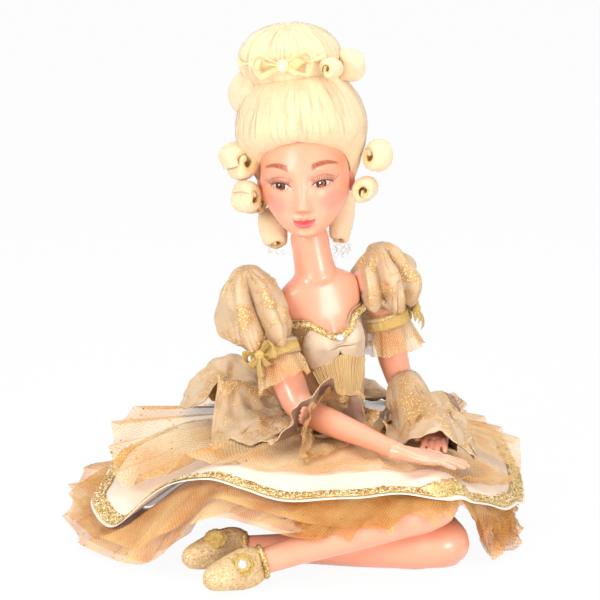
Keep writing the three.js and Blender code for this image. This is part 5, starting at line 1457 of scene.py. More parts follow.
# Sleeve bands, bows and frills.
# A band of gold mesh ribbon ties each sleeve above the elbow, with a bow, over a frill of fine gathered net.
# The right bow sits at the outside of the arm and shows its two loops and its tails.
def ribbon_surface(web):
    uv = web.cloth()
    threads = weave(web, uv, 0.0006)
    grains = web.noise(uv, 2200.0, 1.0).above(0.52, 0.1)
    colour = web.blend(grains, srgb(248, 186, 76), srgb(255, 240, 172))
    return {"Base Color": colour, "Normal": web.bump(threads + grains, 0.0004)}


gold_ribbon = new_material("gold_ribbon", ribbon_surface, Roughness=0.38)
frill_net = net_material("frill_net", (255, 222, 168), (238, 178, 104), 0.42, 0.2, 0.7)


def cuff_grid(side, places, radius, columns):
    """A ring-shaped sheet about an arm between two places along it. radius(share, angle) gives its size."""
    a = circle(columns)
    grid = []
    for i, u in enumerate(places):
        s = i / (len(places) - 1)
        centre, _, across, back = arm_frame(side, u)
        r = radius(s, a)[:, None]
        grid.append(centre + r * round_way(a, across, back))
    return np.array(grid)


def bow_mesh(name, at, across, facing, size, width, tilt=0.7, tails=()):
    """Two loops of ribbon from a knot, their width leaning by tilt, with tails that hang from the knot."""
    up = unit(np.cross(facing, across))
    wide = unit(facing * math.cos(tilt) + up * math.sin(tilt))
    t = np.linspace(0, 1, 41)
    strips = []
    for direction in (1, -1):
        reach = size * np.sin(math.pi * t) ** 0.8
        height = size * 0.36 * np.sin(2 * math.pi * t)
        spine = at + direction * reach[:, None] * across + height[:, None] * up
        half = width / 2 * (0.45 + 0.55 * np.sin(math.pi * t) ** 0.6)
        strips.append((spine, half, wide))
    for reach, drop, sway in tails:
        spine = at + (t * reach)[:, None] * across - (t * drop)[:, None] * up + (sway * np.sin(3 * t))[:, None] * facing
        strips.append((spine, width / 2 * (0.5 + 0.5 * t), unit(across * 0.9 + facing * 0.3)))
    meshes = []
    for spine, half, width_way in strips:
        v = np.linspace(-1, 1, 7)
        cup = 0.12 * width * (1 - v**2)[:, None] * up * 0.6
        grid = spine[:, None] + (half[:, None] * v)[..., None] * width_way + cup
        meshes.append(thick_sheet(surface_mesh(name, grid), 0.3))
    meshes.append(ball_mesh("knot", at, width * 0.55, 12))
    return joined_mesh(name, *meshes)


def thick_sheet(mesh, thickness):
    """A sheet's mesh with its thickness made real."""
    holder = holder_of(mesh.name, mesh)
    solid = holder.modifiers.new("thickness", "SOLIDIFY")
    solid.thickness = thickness * MM
    return plain_mesh(holder, mesh.name)


def frill_radius(s, a):
    return 12.2 + 5.2 * s + 1.7 * s**0.7 * np.cos(13 * a + 2 * np.sin(2 * a)) + 0.5 * s * np.cos(31 * a)


def arm_length(side):
    return np.linalg.norm(np.diff(arm_paths[side], axis=0), axis=1).sum()


for side, label in SIDES.items():
    half = BAND_HEIGHT / 2 / arm_length(side)
    on_arm = "arm_" + label
    places = np.linspace(BAND_PLACE - half + 0.014, BAND_PLACE + half - 0.004, 12)
    band = cuff_grid(side, places, lambda s, a: 14.6 + 0.5 * math.sin(math.pi * s) + 0.15 * np.cos(23 * a), 160)
    band = pushed_out(side, band, 1.0)
    piece(label + "_mesh_band", band, gold_ribbon, on_arm, [label + "_sleeve_band"], thickness=0.4)
    places = np.linspace(BAND_PLACE + half - 0.01, BAND_PLACE + half + 15 / arm_length(side), 24)
    centre, along, _, _ = arm_frame(side, BAND_PLACE)
    frill = cuff_grid(side, places, frill_radius, 320)
    frill += 0.9 * ripples(frill, 9.0, 50 + side)[..., None] * along * np.linspace(0, 1, 24)[:, None, None]
    piece(label + "_net_frill", pushed_out(side, frill, 0.4), frill_net, on_arm, [label + "_sleeve_frill"])
    turn = {-1: 0.5, 1: 0.2}[side]
    facing = unit(TORSO[:, 0] * side - TORSO[:, 1] * turn * 2)
    flat = unit(facing - along * (facing @ along))
    bow_at = centre + flat * (BAND_RADIUS + CLOTH + 2.6)
    bow_across = unit(np.cross(flat, along))
    tails = ((-4, 12, 2), (3, 8, 1)) if side < 0 else ((4, 14, 2), (-2, 8, 1))
    bow = bow_mesh(label + "_ribbon_bow", bow_at, bow_across, flat, 10, 5.2, tails=tails)
    piece(label + "_ribbon_bow", bow, gold_ribbon, on_arm, [label + "_sleeve_bow"])


# Elbow flounces and net ruffles.
# Below each elbow a flounce of brocade, lined with brown-gold tissue, flares over a ruffle of the flecked net.
# All lie on the lap. The right ruffle is longer than its flounce, and the left flounce covers its ruffle.
lining_brown = new_material(
    "lining_brown",
    lambda web: {
        "Base Color": web.clouded(web.cloth(), 50.0, (178, 144, 124), (132, 98, 78)),
        "Normal": web.bump(weave(web, web.cloth(), 0.0004), 0.0002),
    },
    Roughness=0.5,
)
elbow_net = net_material("elbow_net", (255, 222, 166), (240, 182, 106), 0.34, 0.35, 0.6)


def lap_height(place):
    """The height of the skirts that a cuff lies on. The gathered net is left out between two angles, over the lap."""
    degrees = np.degrees(polar(place)[0])
    satin_there = satin_height(place)
    net_there = np.where((degrees > -17) | (degrees < -116), net_height(place), satin_there)
    return np.maximum(np.maximum(satin_there, net_there), drape_top(place))


# Each cuff: its place along the arm, then its brocade and its net. Each of those has its start along the arm, its start
# off it, its lengths over and under it, the lean of its underside, its flare and its gap from what it lies on.
CUFFS = {
    -1: (0.52, (0, 3.0, 10, 40, (-1.2, -0.35, 0), 0.55, 2.4), (4, 1.2, 6, 44, (0.0, -0.7, 0), 0.8, 1.2)),
    1: (0.58, (0, 2.2, 84, 44, (-0.25, 0, 0), 0.13, 2.4), (4, 0.3, 48, 36, (-0.1, 0, 0), 0.16, 1.2)),
}
ELBOW_RADIUS = 8.2


def above_hand(side, place):
    """The height of the top of a hand, far down where there is none."""
    height = np.full(place.shape[:-1], NOTHING_THERE)
    for reach in np.linspace(-20, 42, 24):
        spot = WRISTS[side] + unit(PALM_REACH[side]) * reach
        height = np.maximum(height, spot[2] + 5.5 - off_square(place, spot) / 26)
    return height


def elbow_cuff(side, place, layer, count, frill, seed):
    """A ring of cloth round the arm that flares and hangs down onto the lap."""
    start, inside, over, under, lean, flare, gap = layer
    centre, along, across, back = arm_frame(side, place)
    a, shares = circle(330), np.linspace(0, 1, 44)
    outward = round_way(a, across, back)
    low = ((1 - outward[:, 2:]) / 2) ** 0.7
    way = unit(along * 0.75 + outward * flare + np.array(lean) * low + np.array([0, 0, -0.5]) * low)
    grid = []
    for s in shares:
        flute = np.sin(count * a + 1.3 * np.sin(2 * a + seed) + 0.5 * s) + 0.4 * np.sin(1.7 * count * a + seed)
        ruffle = 1.5 * s + 1.2 * s * np.cos(5 * a) + frill * s**0.9 * flute
        ruffle = ruffle - gathers(a, s, seed + 1, 34, 1.8, 0.06, 0.8)
        reach = (over + (under - over) * low[:, 0]) * s * (1 + 0.05 * flute)
        point = centre + along * start + outward * (ELBOW_RADIUS + inside + ruffle)[:, None] + way * reach[:, None]
        roll = ease(s, 0.75, 1) * 1.6 * (1 + np.sin(3 * a + seed))
        if side > 0:
            top = np.maximum(outward[:, 2], 0) ** 0.5
            point[:, 2] -= 16 * top * s**1.6
            hand = above_hand(side, point) + gap
            point[:, 2] = np.maximum(point[:, 2], np.where(top > 0, hand, NOTHING_THERE))
        point[:, 2] = np.maximum(point[:, 2], lap_height(point) + gap + 0.3) + roll
        grid.append(point)
    grid = np.array(grid)[:, ::-1]
    soft = 2.4 * ripples(grid, 17.0, seed) + 0.7 * ripples(grid, 8.0, seed + 1)
    grid = grid + grid_normals(grid, True) * (soft * shares[:, None] ** 0.7)[..., None]
    grid[..., 2] = np.maximum(grid[..., 2], lap_height(grid) + gap)
    return grid


for side, label in SIDES.items():
    place, brocade_layer, net_layer = CUFFS[side]
    flounce = elbow_cuff(side, place, brocade_layer, 6, 2.4, 91)
    lined_piece(label + "_brocade_flounce", flounce, gold_brocade, lining_brown, "arm_" + label,
                [label + "_elbow_flounce"], thickness=0.5)
    ruffle = elbow_cuff(side, place, net_layer, 15, 1.5, 95)
    piece(label + "_net_ruffle", ruffle, elbow_net, "arm_" + label, [label + "_elbow_ruffle"])


# Head.
# A cast head with a pointed chin, painted and lacquered, that turns on the neck's domed top.
# The brows, shadowed lids, brown irises, lips and cheeks are painted, and lashes are set in along the lids.
HEAD_CENTRE = np.array([-22.0, -1, 198.5])
HEAD_WIDTH, HEAD_DEPTH, HEAD_HEIGHT, EGG_RISE, NOSE_LENGTH = 24.5, 29.0, 34.0, 3.0, 7.0
HEAD = turned("Y", -math.radians(4.5)) @ turned("Z", -math.radians(5)) @ turned("X", math.radians(4))
EYE_SPREAD, EYE_HALF, EYE_HEIGHT = 11.2, 5.3, 1.6
MOUTH_HEIGHT, MOUTH_HALF = EYE_HEIGHT - 20.9, 6.2
CHIN_RISE = 1.6
# How far the ears and the back of the head lie from the face's paint on its UV map.
OFF_FACE = 40.0


def on_head(x, y, z):
    return points(x, y, z) @ HEAD.T + HEAD_CENTRE


def lid_line(s):
    """The height of the upper lid's edge at a distance from the nose."""
    t = (s - EYE_SPREAD) / EYE_HALF
    return EYE_HEIGHT + 1.75 * (1 - t * t) - 0.15 + 0.3 * t


# The face's smooth forms: how far each stands out, its place from the middle and its width, its height and how tall.
FACE_FORMS = (
    (1.4, 3.3, 1.3, -13.4, 1.7), (-1.0, 2.0, 0.8, -15.2, 0.8),  # the wings of the nose and its nostrils
    (-2.3, 10.4, 6.2, 1.2, 4.4), (-0.9, 6, 2.2, 1, 3), (2.1, EYE_SPREAD, 5.0, 0.3, 3.3),  # sockets and eyeballs
    (1.0, 11.5, 7, 8.6, 2.8), (1.9, 12.5, 6.5, -10.5, 6.5), (0.8, 15, 6, -19, 7),  # brows, cheeks and jaw
    (-0.35, 0, 0.9, -17.6, 1.2), (1.0, 0, 6.5, -21, 5), (-0.9, 0, 4.5, -25.6, 1.4), (1.9, 0, 5, -29, 3),  # lip to chin
)


def face_relief(x, z):
    s, up = np.hypot(x, 2.5) - 0.25, z - EYE_HEIGHT
    ridge = through(
        (-16.4, 0), (-14.8, 2.8), (-12.9, NOSE_LENGTH - 1.0), (-10, 4.6), (-5, 2.5), (0, 1.3), (5, 0.5), (9, 0)
    )
    nose = ridge(up) * np.exp(-(np.abs(x / (4.1 - 0.7 * ease(up, -12, -3) + 1.6 * ease(up, 0, 7))) ** 2.4))
    over_eye, above = bump_of(s - EYE_SPREAD, 5.6), z - lid_line(s)
    lid = over_eye * (0.55 * ease(above, -0.2, 0.15) * (1 - ease(above, 1.8, 3.6)) - 0.45 * bump_of(above - 3.1, 0.55))
    lower_lid = 0.4 * over_eye * bump_of(up + 2.3, 0.6)
    m = np.minimum((s / MOUTH_HALF) ** 2, 1.4)
    from_line = z - MOUTH_HEIGHT - 1.1 * m
    full = np.maximum(1 - m, 0) ** 0.5
    lips = full * (1.2 * bump_of(from_line - 1.2, 1.0) + 1.7 * bump_of(from_line + 1.7, 1.3))
    corners = bump_of(s - MOUTH_HALF - 0.3, 0.9) * bump_of(from_line, 0.8)
    parting = -0.8 * bump_of(from_line, 0.35) * full - 0.5 * corners
    forms = sum(
        amount * bump_of((s if place > 4 else np.abs(x)) - place, wide) * bump_of(up - level, tall)
        for amount, place, wide, level, tall in FACE_FORMS
    )
    return nose + lid + lower_lid + lips + parting + forms


def head_local(lon, lat):
    x = HEAD_WIDTH * np.cos(lat) * np.sin(lon) * (1 + 0.05 * bump_of(lat + 0.42, 0.3))
    z = HEAD_HEIGHT * np.sin(lat) + EGG_RISE
    z = np.where(z < EGG_RISE, EGG_RISE + (z - EGG_RISE) * (1 - CHIN_RISE / HEAD_HEIGHT), z)
    forward = 18 * np.maximum((-z - 8) / 21, 0) ** 1.6
    facing = ease(np.cos(lon), 0, 0.35)
    relief = face_relief(x, z) * facing
    return x, -HEAD_DEPTH * np.cos(lat) * np.cos(lon) - forward - relief, z


def ear_grid(side):
    """An ear: a curled rim round a hollow, with a lobe."""
    t = np.linspace(0.03, math.pi - 0.03, 34)[:, None]
    a = circle(48)[None, :]
    x, y, z = 2.1 * np.sin(t) * np.cos(a), 4.2 * np.sin(t) * np.sin(a), 6.6 * np.cos(t)
    radius = np.hypot(y / 4.2, z / 6.6)
    outer = np.cos(a) * side > 0
    rim = 0.9 * bump_of(radius - 0.82, 0.13) - 1.5 * bump_of(radius - 0.3, 0.3)
    x = x + side * outer * rim * np.sin(t)
    return points(x, y, z) @ turned("Z", side * 0.35).T + np.array([side * (HEAD_WIDTH - 0.4), 3, -4])


def painted_face(web):
    """The head's paint, on a UV map that holds the place on the face in centimetres."""
    face = web.cloth()
    u, v, _ = web.parts(face)
    x, z = u * 10, v * 10
    s, up = x.size(), z - EYE_HEIGHT
    place = web.place()
    cloud = web.noise(place, 60.0, 2.0)
    grit = web.noise(place, 1200.0, 2.0)
    strokes = web.noise(web.stretched(face, (34, 7, 1)), 1.0, 2.0)
    colour = web.blend(cloud * 0.3, srgb(243, 172, 140), srgb(238, 158, 124))

    def tint(share, paint):
        nonlocal colour
        colour = web.blend(share, colour, paint)

    def oval(cx, cz, wide, tall):
        return (((s - cx) / wide) ** 2 + ((up - cz) / tall) ** 2).below(0.6, 0.5)

    # Painted shade: the skin darkens towards the sides of the face.
    tint(s.above(19, 5) * 0.5, srgb(230, 138, 104))
    tint(oval(15.5, -10.5, 8, 6.5) * 0.4, srgb(240, 128, 124))
    tint(oval(0, -14.6, 4, 3.2) * 0.35, srgb(228, 122, 96))
    tint(oval(0, -30, 6, 3) * 0.3, srgb(230, 126, 100))
    t = (s - EYE_SPREAD) / EYE_HALF
    edge = EYE_HEIGHT + 1.75 * (1 - t * t) - 0.15 + t * 0.3
    low_edge = EYE_HEIGHT - 1.95 * (1 - t * t) - 0.1 + t * 0.3
    above, near = z - edge, (t * t).below(1.3, 0.5)
    tint(above.above(-0.3, 0.4) * above.below(2.6, 1.8) * near * 0.35, srgb(214, 124, 100))
    tint((above - 2.9).size().below(0.3, 0.35) * near * 0.6, srgb(150, 84, 76))
    # Painted shade beside the bridge of the nose, above the inner corners of the eyes.
    tint((s - 6.2).size().below(1.2, 1.4) * (up - 2.5).size().below(2, 2) * 0.4, srgb(206, 120, 98))
    inside = above.below(0.0, 0.15) * (z - low_edge).above(0.0, 0.2) * (t * t).below(1.0, 0.1)
    # The whites of the eyes are painted darker towards their corners: painted shade.
    tint(inside, web.blend((t * t).below(0.45, 0.45), srgb(198, 146, 124), srgb(238, 216, 202)))
    iris_x, iris_z = x.above(0, 0.01) * 2 * EYE_SPREAD - EYE_SPREAD - 0.3, EYE_HEIGHT - 0.1
    ring = (((x - iris_x) ** 2) + ((z - iris_z) ** 2)) ** 0.5
    iris = web.blend(ring.below(1.7, 0.5), srgb(50, 18, 10), srgb(134, 66, 24))
    eye = ring.below(2.8, 0.15) * inside
    tint(eye, iris)
    tint(ring.below(1.0, 0.15) * inside, srgb(24, 12, 10))
    glint = (((x - iris_x + 0.7) ** 2) + ((z - iris_z - 0.6) ** 2)) ** 0.5
    tint(glint.below(0.4, 0.12) * inside, (1.0, 1.0, 1.0))
    tint(above.size().below(0.36, 0.3) * (t * t).below(1.2, 0.2) * 0.95, srgb(72, 38, 34))
    tint((z - low_edge).size().below(0.15, 0.2) * (t * t).below(0.95, 0.2) * 0.7, srgb(150, 86, 72))
    arch = 10.9 - ((s - 13.0).least(0) ** 2) * 0.036 - ((s - 13.0).most(0) ** 2) * 0.05
    width = 2.0 - (s - 7) * 0.1
    brow = ((up - arch).size() / width).below(0.85, 0.4) * ((s - 13.2) / 6.6).size().below(1.0, 0.14)
    tint(brow * strokes.above(0.36, 0.2), srgb(166, 74, 32))
    m = (s / MOUTH_HALF) ** 2
    taper = (1 - m).most(0) ** 0.6
    line = z - MOUTH_HEIGHT - m * 1.1
    dip = (s - 1.9).size().below(0.9, 1.2) * 0.5
    upper = line.above(0, 0.1) * (line - (1.5 + dip) * taper).below(0, 0.3) * m.below(1, 0.05)
    lower = line.below(0, 0.1) * (line + taper * 3.0).above(0, 0.35) * m.below(1, 0.05)
    tint(upper * 0.95, srgb(222, 70, 78))
    tint(lower * 0.9, srgb(236, 94, 98))
    tint(line.size().below(0.12, 0.2) * m.below(1.15, 0.1) * 0.8, srgb(164, 48, 50))
    hairline = 24.6 - (x / 24) ** 2 * 9.5
    tint((z - hairline).size().below(0.35, 0.3) * strokes.above(0.4, 0.2) * 0.7, srgb(150, 92, 52))
    return {
        "Base Color": colour,
        "Metallic": eye * 0.75,
        "Roughness": 0.34 + grit * 0.1,
        "Normal": web.bump(cloud * 0.6 + grit * 0.4, 0.0003, 0.4),
    }


face_paint = new_material(
    "face_paint", painted_face, Subsurface_Weight=0.1, Subsurface_Scale=0.003, Coat_Weight=0.4, Coat_Roughness=0.4
)
lon_even = np.linspace(-math.pi, math.pi, 301)[:-1]
lon = (lon_even - 0.5 * np.sin(lon_even))[None, :]
lat = np.radians(np.linspace(-88, 88, 260))[:, None]
hx, hy, hz = head_local(lon, lat)
face_place = np.stack(np.broadcast_arrays(hx / 10, hz / 10), -1)
face_place[np.broadcast_to(np.cos(lon) < 0.05, hx.shape)] += OFF_FACE
skull_mesh = surface_mesh("head_casting", on_head(hx, hy, hz), around=True, ends=True, pattern=face_place)
ear_meshes = []
for side in SIDES:
    ear = on_head(*np.moveaxis(ear_grid(side), -1, 0))
    far = np.full(ear.shape[:2] + (2,), OFF_FACE)
    ear_meshes.append(surface_mesh("ear", ear, around=True, ends=True, pattern=far))
head_mesh = faced_outwards(joined_mesh("head_casting", skull_mesh, *ear_meshes))
piece("head_casting", shade(head_mesh, True), face_paint, "head", ["head"])

strand_web, (strand_in, strand_radius, strand_wander, strand_sides, strand_seed, *_), strand_out = geometry_tree(
    "strands", radius=0.0002, wander=0.0002, sides=4, seed=2
)
as_curve = strand_web.add("GeometryNodeMeshToCurve", {}, {0: strand_in})
here = strand_web.add("GeometryNodeInputPosition")
shake_sockets = {"Vector": here, "W": strand_seed, "Scale": 260.0, "Detail": 1.0}
shake = strand_web.add("ShaderNodeTexNoise", {"noise_dimensions": "4D"}, shake_sockets, out=1)
centred = strand_web.add("ShaderNodeVectorMath", {"operation": "SUBTRACT"}, {0: shake, 1: (0.5, 0.5, 0.5)})
offset = strand_web.add("ShaderNodeVectorMath", {"operation": "SCALE"}, {0: centred, "Scale": strand_wander * 2})
moved = strand_web.add("GeometryNodeSetPosition", {}, {"Geometry": as_curve, "Offset": offset})
along_it = strand_web.add("GeometryNodeSplineParameter")
slim = (1 - along_it**6) * strand_radius
moved = strand_web.add("GeometryNodeSetCurveRadius", {}, {"Curve": moved, "Radius": slim / 0.001})
round_profile = strand_web.add("GeometryNodeCurvePrimitiveCircle", {}, {"Resolution": strand_sides, "Radius": 0.001})
tubes = strand_web.add(
    "GeometryNodeCurveToMesh", {}, {"Curve": moved, "Profile Curve": round_profile, "Fill Caps": True}
)
if "Scale" in tubes.socket.node.inputs:
    strand_web.put(tubes.socket.node.inputs["Scale"], slim / 0.001)
strand_web.put(strand_out, tubes)
strands_tree = strand_web.tree


def guide_mesh(name, lines):
    """A mesh of loose edges along lines of points in millimetres."""
    vertices, edges = [], []
    for line in lines:
        first = len(vertices)
        vertices += (np.asarray(line) * MM).tolist()
        edges += [(first + k, first + k + 1) for k in range(len(line) - 1)]
    mesh = bpy.data.meshes.new(name)
    mesh.from_pydata(vertices, edges, [])
    return mesh


def face_point(x, z, out=0.0):
    """The point on the front of the head at a place on the face."""
    x, z = np.asarray(x, float), np.asarray(z, float)
    high = np.clip((z - EGG_RISE) / HEAD_HEIGHT, -0.99, 0.99)
    latitude = np.arcsin(high)
    longitude = np.arcsin(np.clip(x / (HEAD_WIDTH * np.cos(latitude)), -0.99, 0.99))
    px, py, pz = head_local(longitude, latitude)
    return on_head(px, py - out, pz)


lash_lines = []
lash_random = np.random.default_rng(12)
for side in SIDES:
    for share in np.linspace(-0.75, 1.05, 14):
        s = EYE_SPREAD + EYE_HALF * share
        length = (2.0 + 2.2 * ease(share, -0.8, 0.9)) * lash_random.uniform(0.85, 1.15)
        aim = HEAD @ unit(np.array([side * (0.2 + 0.7 * share), -0.6, 0.6]))
        bend = HEAD @ np.array([side * 0.15 * share, -0.1, 0.55])
        t = np.linspace(0, 1, 7)[:, None]
        lash_lines.append(face_point(side * s, lid_line(s), 0.1) + length * (t * aim + t * t * bend))
    for share in np.linspace(-0.6, 0.95, 8):
        s = EYE_SPREAD + EYE_HALF * share
        root = face_point(side * s, EYE_HEIGHT - 2.0 * (1 - share * share), 0.05)
        drop = (HEAD @ np.array([side * 0.6 * share, -0.5, -0.75])) * 1.5 * lash_random.uniform(0.8, 1.2)
        lash_lines.append(root + drop * np.linspace(0, 1, 5)[:, None])
lash_brown = new_material(
    "lash_brown",
    lambda web: {"Base Color": web.clouded(web.place(), 800.0, (74, 34, 24), (112, 58, 40))},
    Roughness=0.6,
)
lash_guides = guide_mesh("lash_guides", lash_lines)
lashes = grown("lashes", lash_guides, strands_tree, radius=0.00014, wander=0.0, sides=4, seed=2)
piece("eyelashes", lashes, lash_brown, "head", [])


# Wig: front roll and bun.
# Cream mohair combed up from the hairline over a stuffed roll, and up again over a bun that is sewn on its top.
# The strands are laid side by side and fixed under the bun, and a few stand loose.
BUN_CENTRE = np.array([-3.5, 4.0, 66.0])
BUN_SIZE = np.array([28.0, 25.0, 19.0])
pouf_wide = through((-16, 21.5), (-6, 27), (8, 31.5), (27, 36), (40, 33.5), (50, 28), (58, 19), (62, 8))
pouf_deep = through((-16, 15), (-6, 29), (8, 33), (27, 36), (40, 34), (50, 29), (58, 21), (62, 8))


def wool_look(web):
    hollow = web.add("ShaderNodeAttribute", {"attribute_name": "hollow"}, out=2)
    uv = web.cloth()
    fibres = web.noise(web.stretched(uv, (5200, 420, 1)), 1.0, 2.0)
    fuzz = web.noise(web.place(), 1700.0, 2.0)
    cloud = web.noise(web.place(), 70.0)
    colour = web.blend(cloud, srgb(252, 222, 184), srgb(248, 211, 166))
    colour = web.blend(fibres * 0.5, colour, srgb(254, 236, 204))
    # Painted shade: the wool turns darker and more golden where its hollow value is high, in grooves and inside the
    # curls.
    colour = web.blend(hollow, colour, srgb(238, 196, 116))
    return {"Base Color": colour, "Normal": web.bump(fibres * 0.7 + fuzz * 0.5, 0.0005)}


cream_wool = new_material(
    "cream_wool", wool_look, Roughness=0.75, Sheen_Weight=0.2, Subsurface_Weight=0.4, Subsurface_Scale=0.004
)


def with_painted_shade(mesh, values):
    """The mesh with a value from 0 to 1 at each point, by which the wool's colour darkens: painted shade."""
    mesh.attributes.new("hollow", "FLOAT", "POINT").data.foreach_set("value", np.clip(values, 0, 1).ravel())
    return mesh


def combed(mesh, heights, locks):
    # Painted shade in the grooves between strands, and a little between locks.
    return with_painted_shade(mesh, (1 - heights) ** 3 * 0.35 + (1 - locks) * 0.1)


def strand_ridges(columns, rows, ridges, seed):
    """The height of laid strands on a grid, from 0 in a groove to 1 on a strand, wandering a little along each."""
    random = np.random.default_rng(seed)
    a = circle(columns)[None, :]
    v = np.linspace(0, 1, rows)[:, None]
    phase = 0.0
    for k in range(1, 6):
        sway = random.uniform(0.3, 1)
        phase = phase + sway * np.sin(k * 3 * a + random.uniform(0, 6) + random.uniform(-2, 2) * v) * 0.6
    heights = np.abs(np.sin(ridges * a / 2 + phase * 1.6)) ** 1.3
    locks = 0.5 + 0.5 * np.sin(ridges / 5 * a + phase * 2.3)
    return heights, locks


def front_roll():
    columns, rows = 720, 90
    a = circle(columns)
    around_front = np.abs(wrapped(a + math.pi / 2))
    start = through(
        (0, 26), (0.5, 23.8), (0.9, 20), (1.25, 15.5), (1.45, 9), (1.6, 0), (1.8, -8), (2.1, -14.5), (math.pi, -17)
    )
    z0 = start(around_front)
    v = np.linspace(0, 1, rows)[:, None]
    z = z0 + (61.5 - z0) * v
    wide, deep = pouf_wide(z), pouf_deep(z)
    tuck = np.clip((z - z0) / 9.0, 0, 1)
    swell = np.sqrt(1 - (1 - tuck) ** 2)
    lat_here = np.arcsin(np.clip((z - EGG_RISE) / (HEAD_HEIGHT + 1), -0.98, 0.98))
    skull_wide = np.maximum((HEAD_WIDTH + 0.6) * np.cos(lat_here), 5)
    skull_deep = np.maximum((HEAD_DEPTH + 0.6) * np.cos(lat_here), 5)
    mask = np.where(z < 36, 1.0, 0.0) * (1 - swell)
    wide = wide * (1 - mask) + np.minimum(skull_wide, wide) * mask
    deep = deep * (1 - mask) + np.minimum(skull_deep, deep) * mask
    heights, locks = strand_ridges(columns, rows, 190, 61)
    out = (heights - 0.6) * 0.2 + (locks - 0.5) * 0.16 * np.sin(math.pi * v) ** 0.5
    x = (wide + out) * np.cos(a)
    y = 1 + (deep + out) * np.sin(a)
    return on_head(x, y, z - 1.5 * (1 - swell)), heights, locks


roll_grid, roll_heights, roll_locks = front_roll()
roll_mesh = combed(surface_mesh("mohair_roll", roll_grid, around=True), roll_heights, roll_locks)
piece("mohair_roll", roll_mesh, cream_wool, "head", ["wig_front_roll"])


def bun_grid():
    columns, rows = 600, 90
    a = circle(columns)[None, :]
    b = np.radians(np.linspace(4, 176, rows))[:, None]
    heights, locks = strand_ridges(columns, rows, 160, 66)
    edge = np.sin(b) ** 0.5
    out = ((heights - 0.6) * 0.2 + (locks - 0.5) * 0.16) * edge
    x = BUN_CENTRE[0] + (BUN_SIZE[0] + out) * np.sin(b) * np.cos(a)
    y = BUN_CENTRE[1] + (BUN_SIZE[1] + out) * np.sin(b) * np.sin(a)
    z = BUN_CENTRE[2] + (BUN_SIZE[2] + out * 0.5) * np.cos(b)
    return on_head(x, y, z), heights, locks


bun_points, bun_heights, bun_locks = bun_grid()
bun_mesh = closed_mesh("mohair_bun", bun_points[::-1])
bun_mesh = combed(bun_mesh, bun_heights[::-1], bun_locks[::-1])
piece("mohair_bun", bun_mesh, cream_wool, "head", ["wig_bun"])


# Rolled locks.
# Each curl is a flat lock of mohair set in a spiral over a rod, swelling in its middle, and stitched to the roll.
# Two hang as ringlets at the neck, and one lies behind the bun.
LOCK_THICKNESS, LOCK_PITCH, CURL_TURNS = 4.9, 5.2, 1.3
CORE_RADIUS, RIDGE = 2.7, 0.42
# Each lock: its place and axis on the head, its length, its radius and the angle at which it starts.
LOCKS = {
    "right_curl_upper": ((-35.5, -2, 10), (0.5, -0.82, 0.2), 17, 11.2, 1.5),
    "right_curl_middle": ((-33.5, -10, -8), (0.75, -0.6, 0.1), 15, 8.6, 0.5),
    "right_curl_lower": ((-31.5, 8, -14), (0.7, -0.6, -0.2), 16, 8.6, 2.5),
    "right_ringlet": ((-21, 8.5, -31), (0.15, -0.66, -0.74), 23, 7.8, 2),
    "left_curl_upper": ((40, -2, 9), (-0.72, -0.66, 0.1), 14, 8.8, 0.4),
    "left_curl_lower": ((34, -6, -8.5), (-0.3, -0.95, 0), 14, 7.6, 3),
    "left_ringlet": ((16.8, 14.4, -28), (-0.15, -0.5, -0.85), 30, 7.2, 1),
    "bun_curl_outer": ((29, 2, 59), (-0.85, -0.5, 0.1), 14, 9, 1),
    "bun_curl_inner": ((21, -19, 62.5), (-0.6, -0.78, 0.1), 11, 6, 2),
    "back_roll": ((-23, 8, 48.5), (0.45, -0.85, 0.25), 30, 13.5, 3),
}


def curl_mesh(name, place, axis, length, radius, start, seed):
    """A lock wound in a spiral: a rounded strip carried round the axis, ridged along its strands."""
    shrink = radius / (LOCK_PITCH * CURL_TURNS + CORE_RADIUS)
    w = unit(np.array(axis, float))
    u, v = beside(w)
    at = on_head(*place)
    turn = np.linspace(0, CURL_TURNS * 2 * math.pi, 110)
    t = circle(72)
    half, tip = length / 2, LOCK_THICKNESS * shrink / 2
    side = (np.sign(np.cos(t)) * np.abs(np.cos(t)) ** 0.7 * (half - tip) + tip * np.cos(t)) / half
    past_tip = np.maximum(np.abs(side) * half - half + tip, 0) / tip
    deep = np.sqrt(np.clip(1 - past_tip**2, 0, 1)) * np.sign(np.sin(t))
    random = np.random.default_rng(seed)
    wander = 0.8 * np.sin(2 * turn[:, None] + random.uniform(0, 6))
    ridge = RIDGE * np.abs(np.sin(14 * side[None, :] * length / 15 + wander))
    grid = []
    for i, a in enumerate(turn):
        taper = 1 - 0.35 * (1 - ease(i, 0, 10)) - 0.85 * ease(i, 96, 109)
        place_along = side * length / 2 * (0.97 + 0.03 * math.sin(3 * a))
        swell = 1 - 0.3 * side**2
        out = swell * (CORE_RADIUS + LOCK_PITCH * a / (2 * math.pi))
        middle = shrink * (out - LOCK_THICKNESS * 0.42 * ease(i, 96, 109))
        r = middle + shrink * deep * (LOCK_THICKNESS / 2 * taper + ridge[i] * 0.8 - 0.2)
        flat = 0.6 + 0.4 * ease(i, 0, 70)
        ring = at + place_along[:, None] * w + (r * math.cos(a + start) * flat)[:, None] * u
        grid.append(ring + (r * math.sin(a + start))[:, None] * v)
    made = closed_mesh(name, np.array(grid))
    # Painted shade: the wool is darker on the inner face of the lock and in the grooves between its strands, most
    # towards the core.
    inner = (deep[None, :] < 0.2) * 0.75 + (1 - ridge / RIDGE) ** 2 * 0.35
    inner = inner * (0.5 + 0.5 * (1 - turn[:, None] / turn[-1]))
    return with_painted_shade(made, inner)


for seed, (lock_name, (place, axis, length, radius, start)) in enumerate(LOCKS.items()):
    curl = curl_mesh("mohair_" + lock_name, place, axis, length, radius, start, seed)
    piece("mohair_" + lock_name, curl, cream_wool, "head", [lock_name])


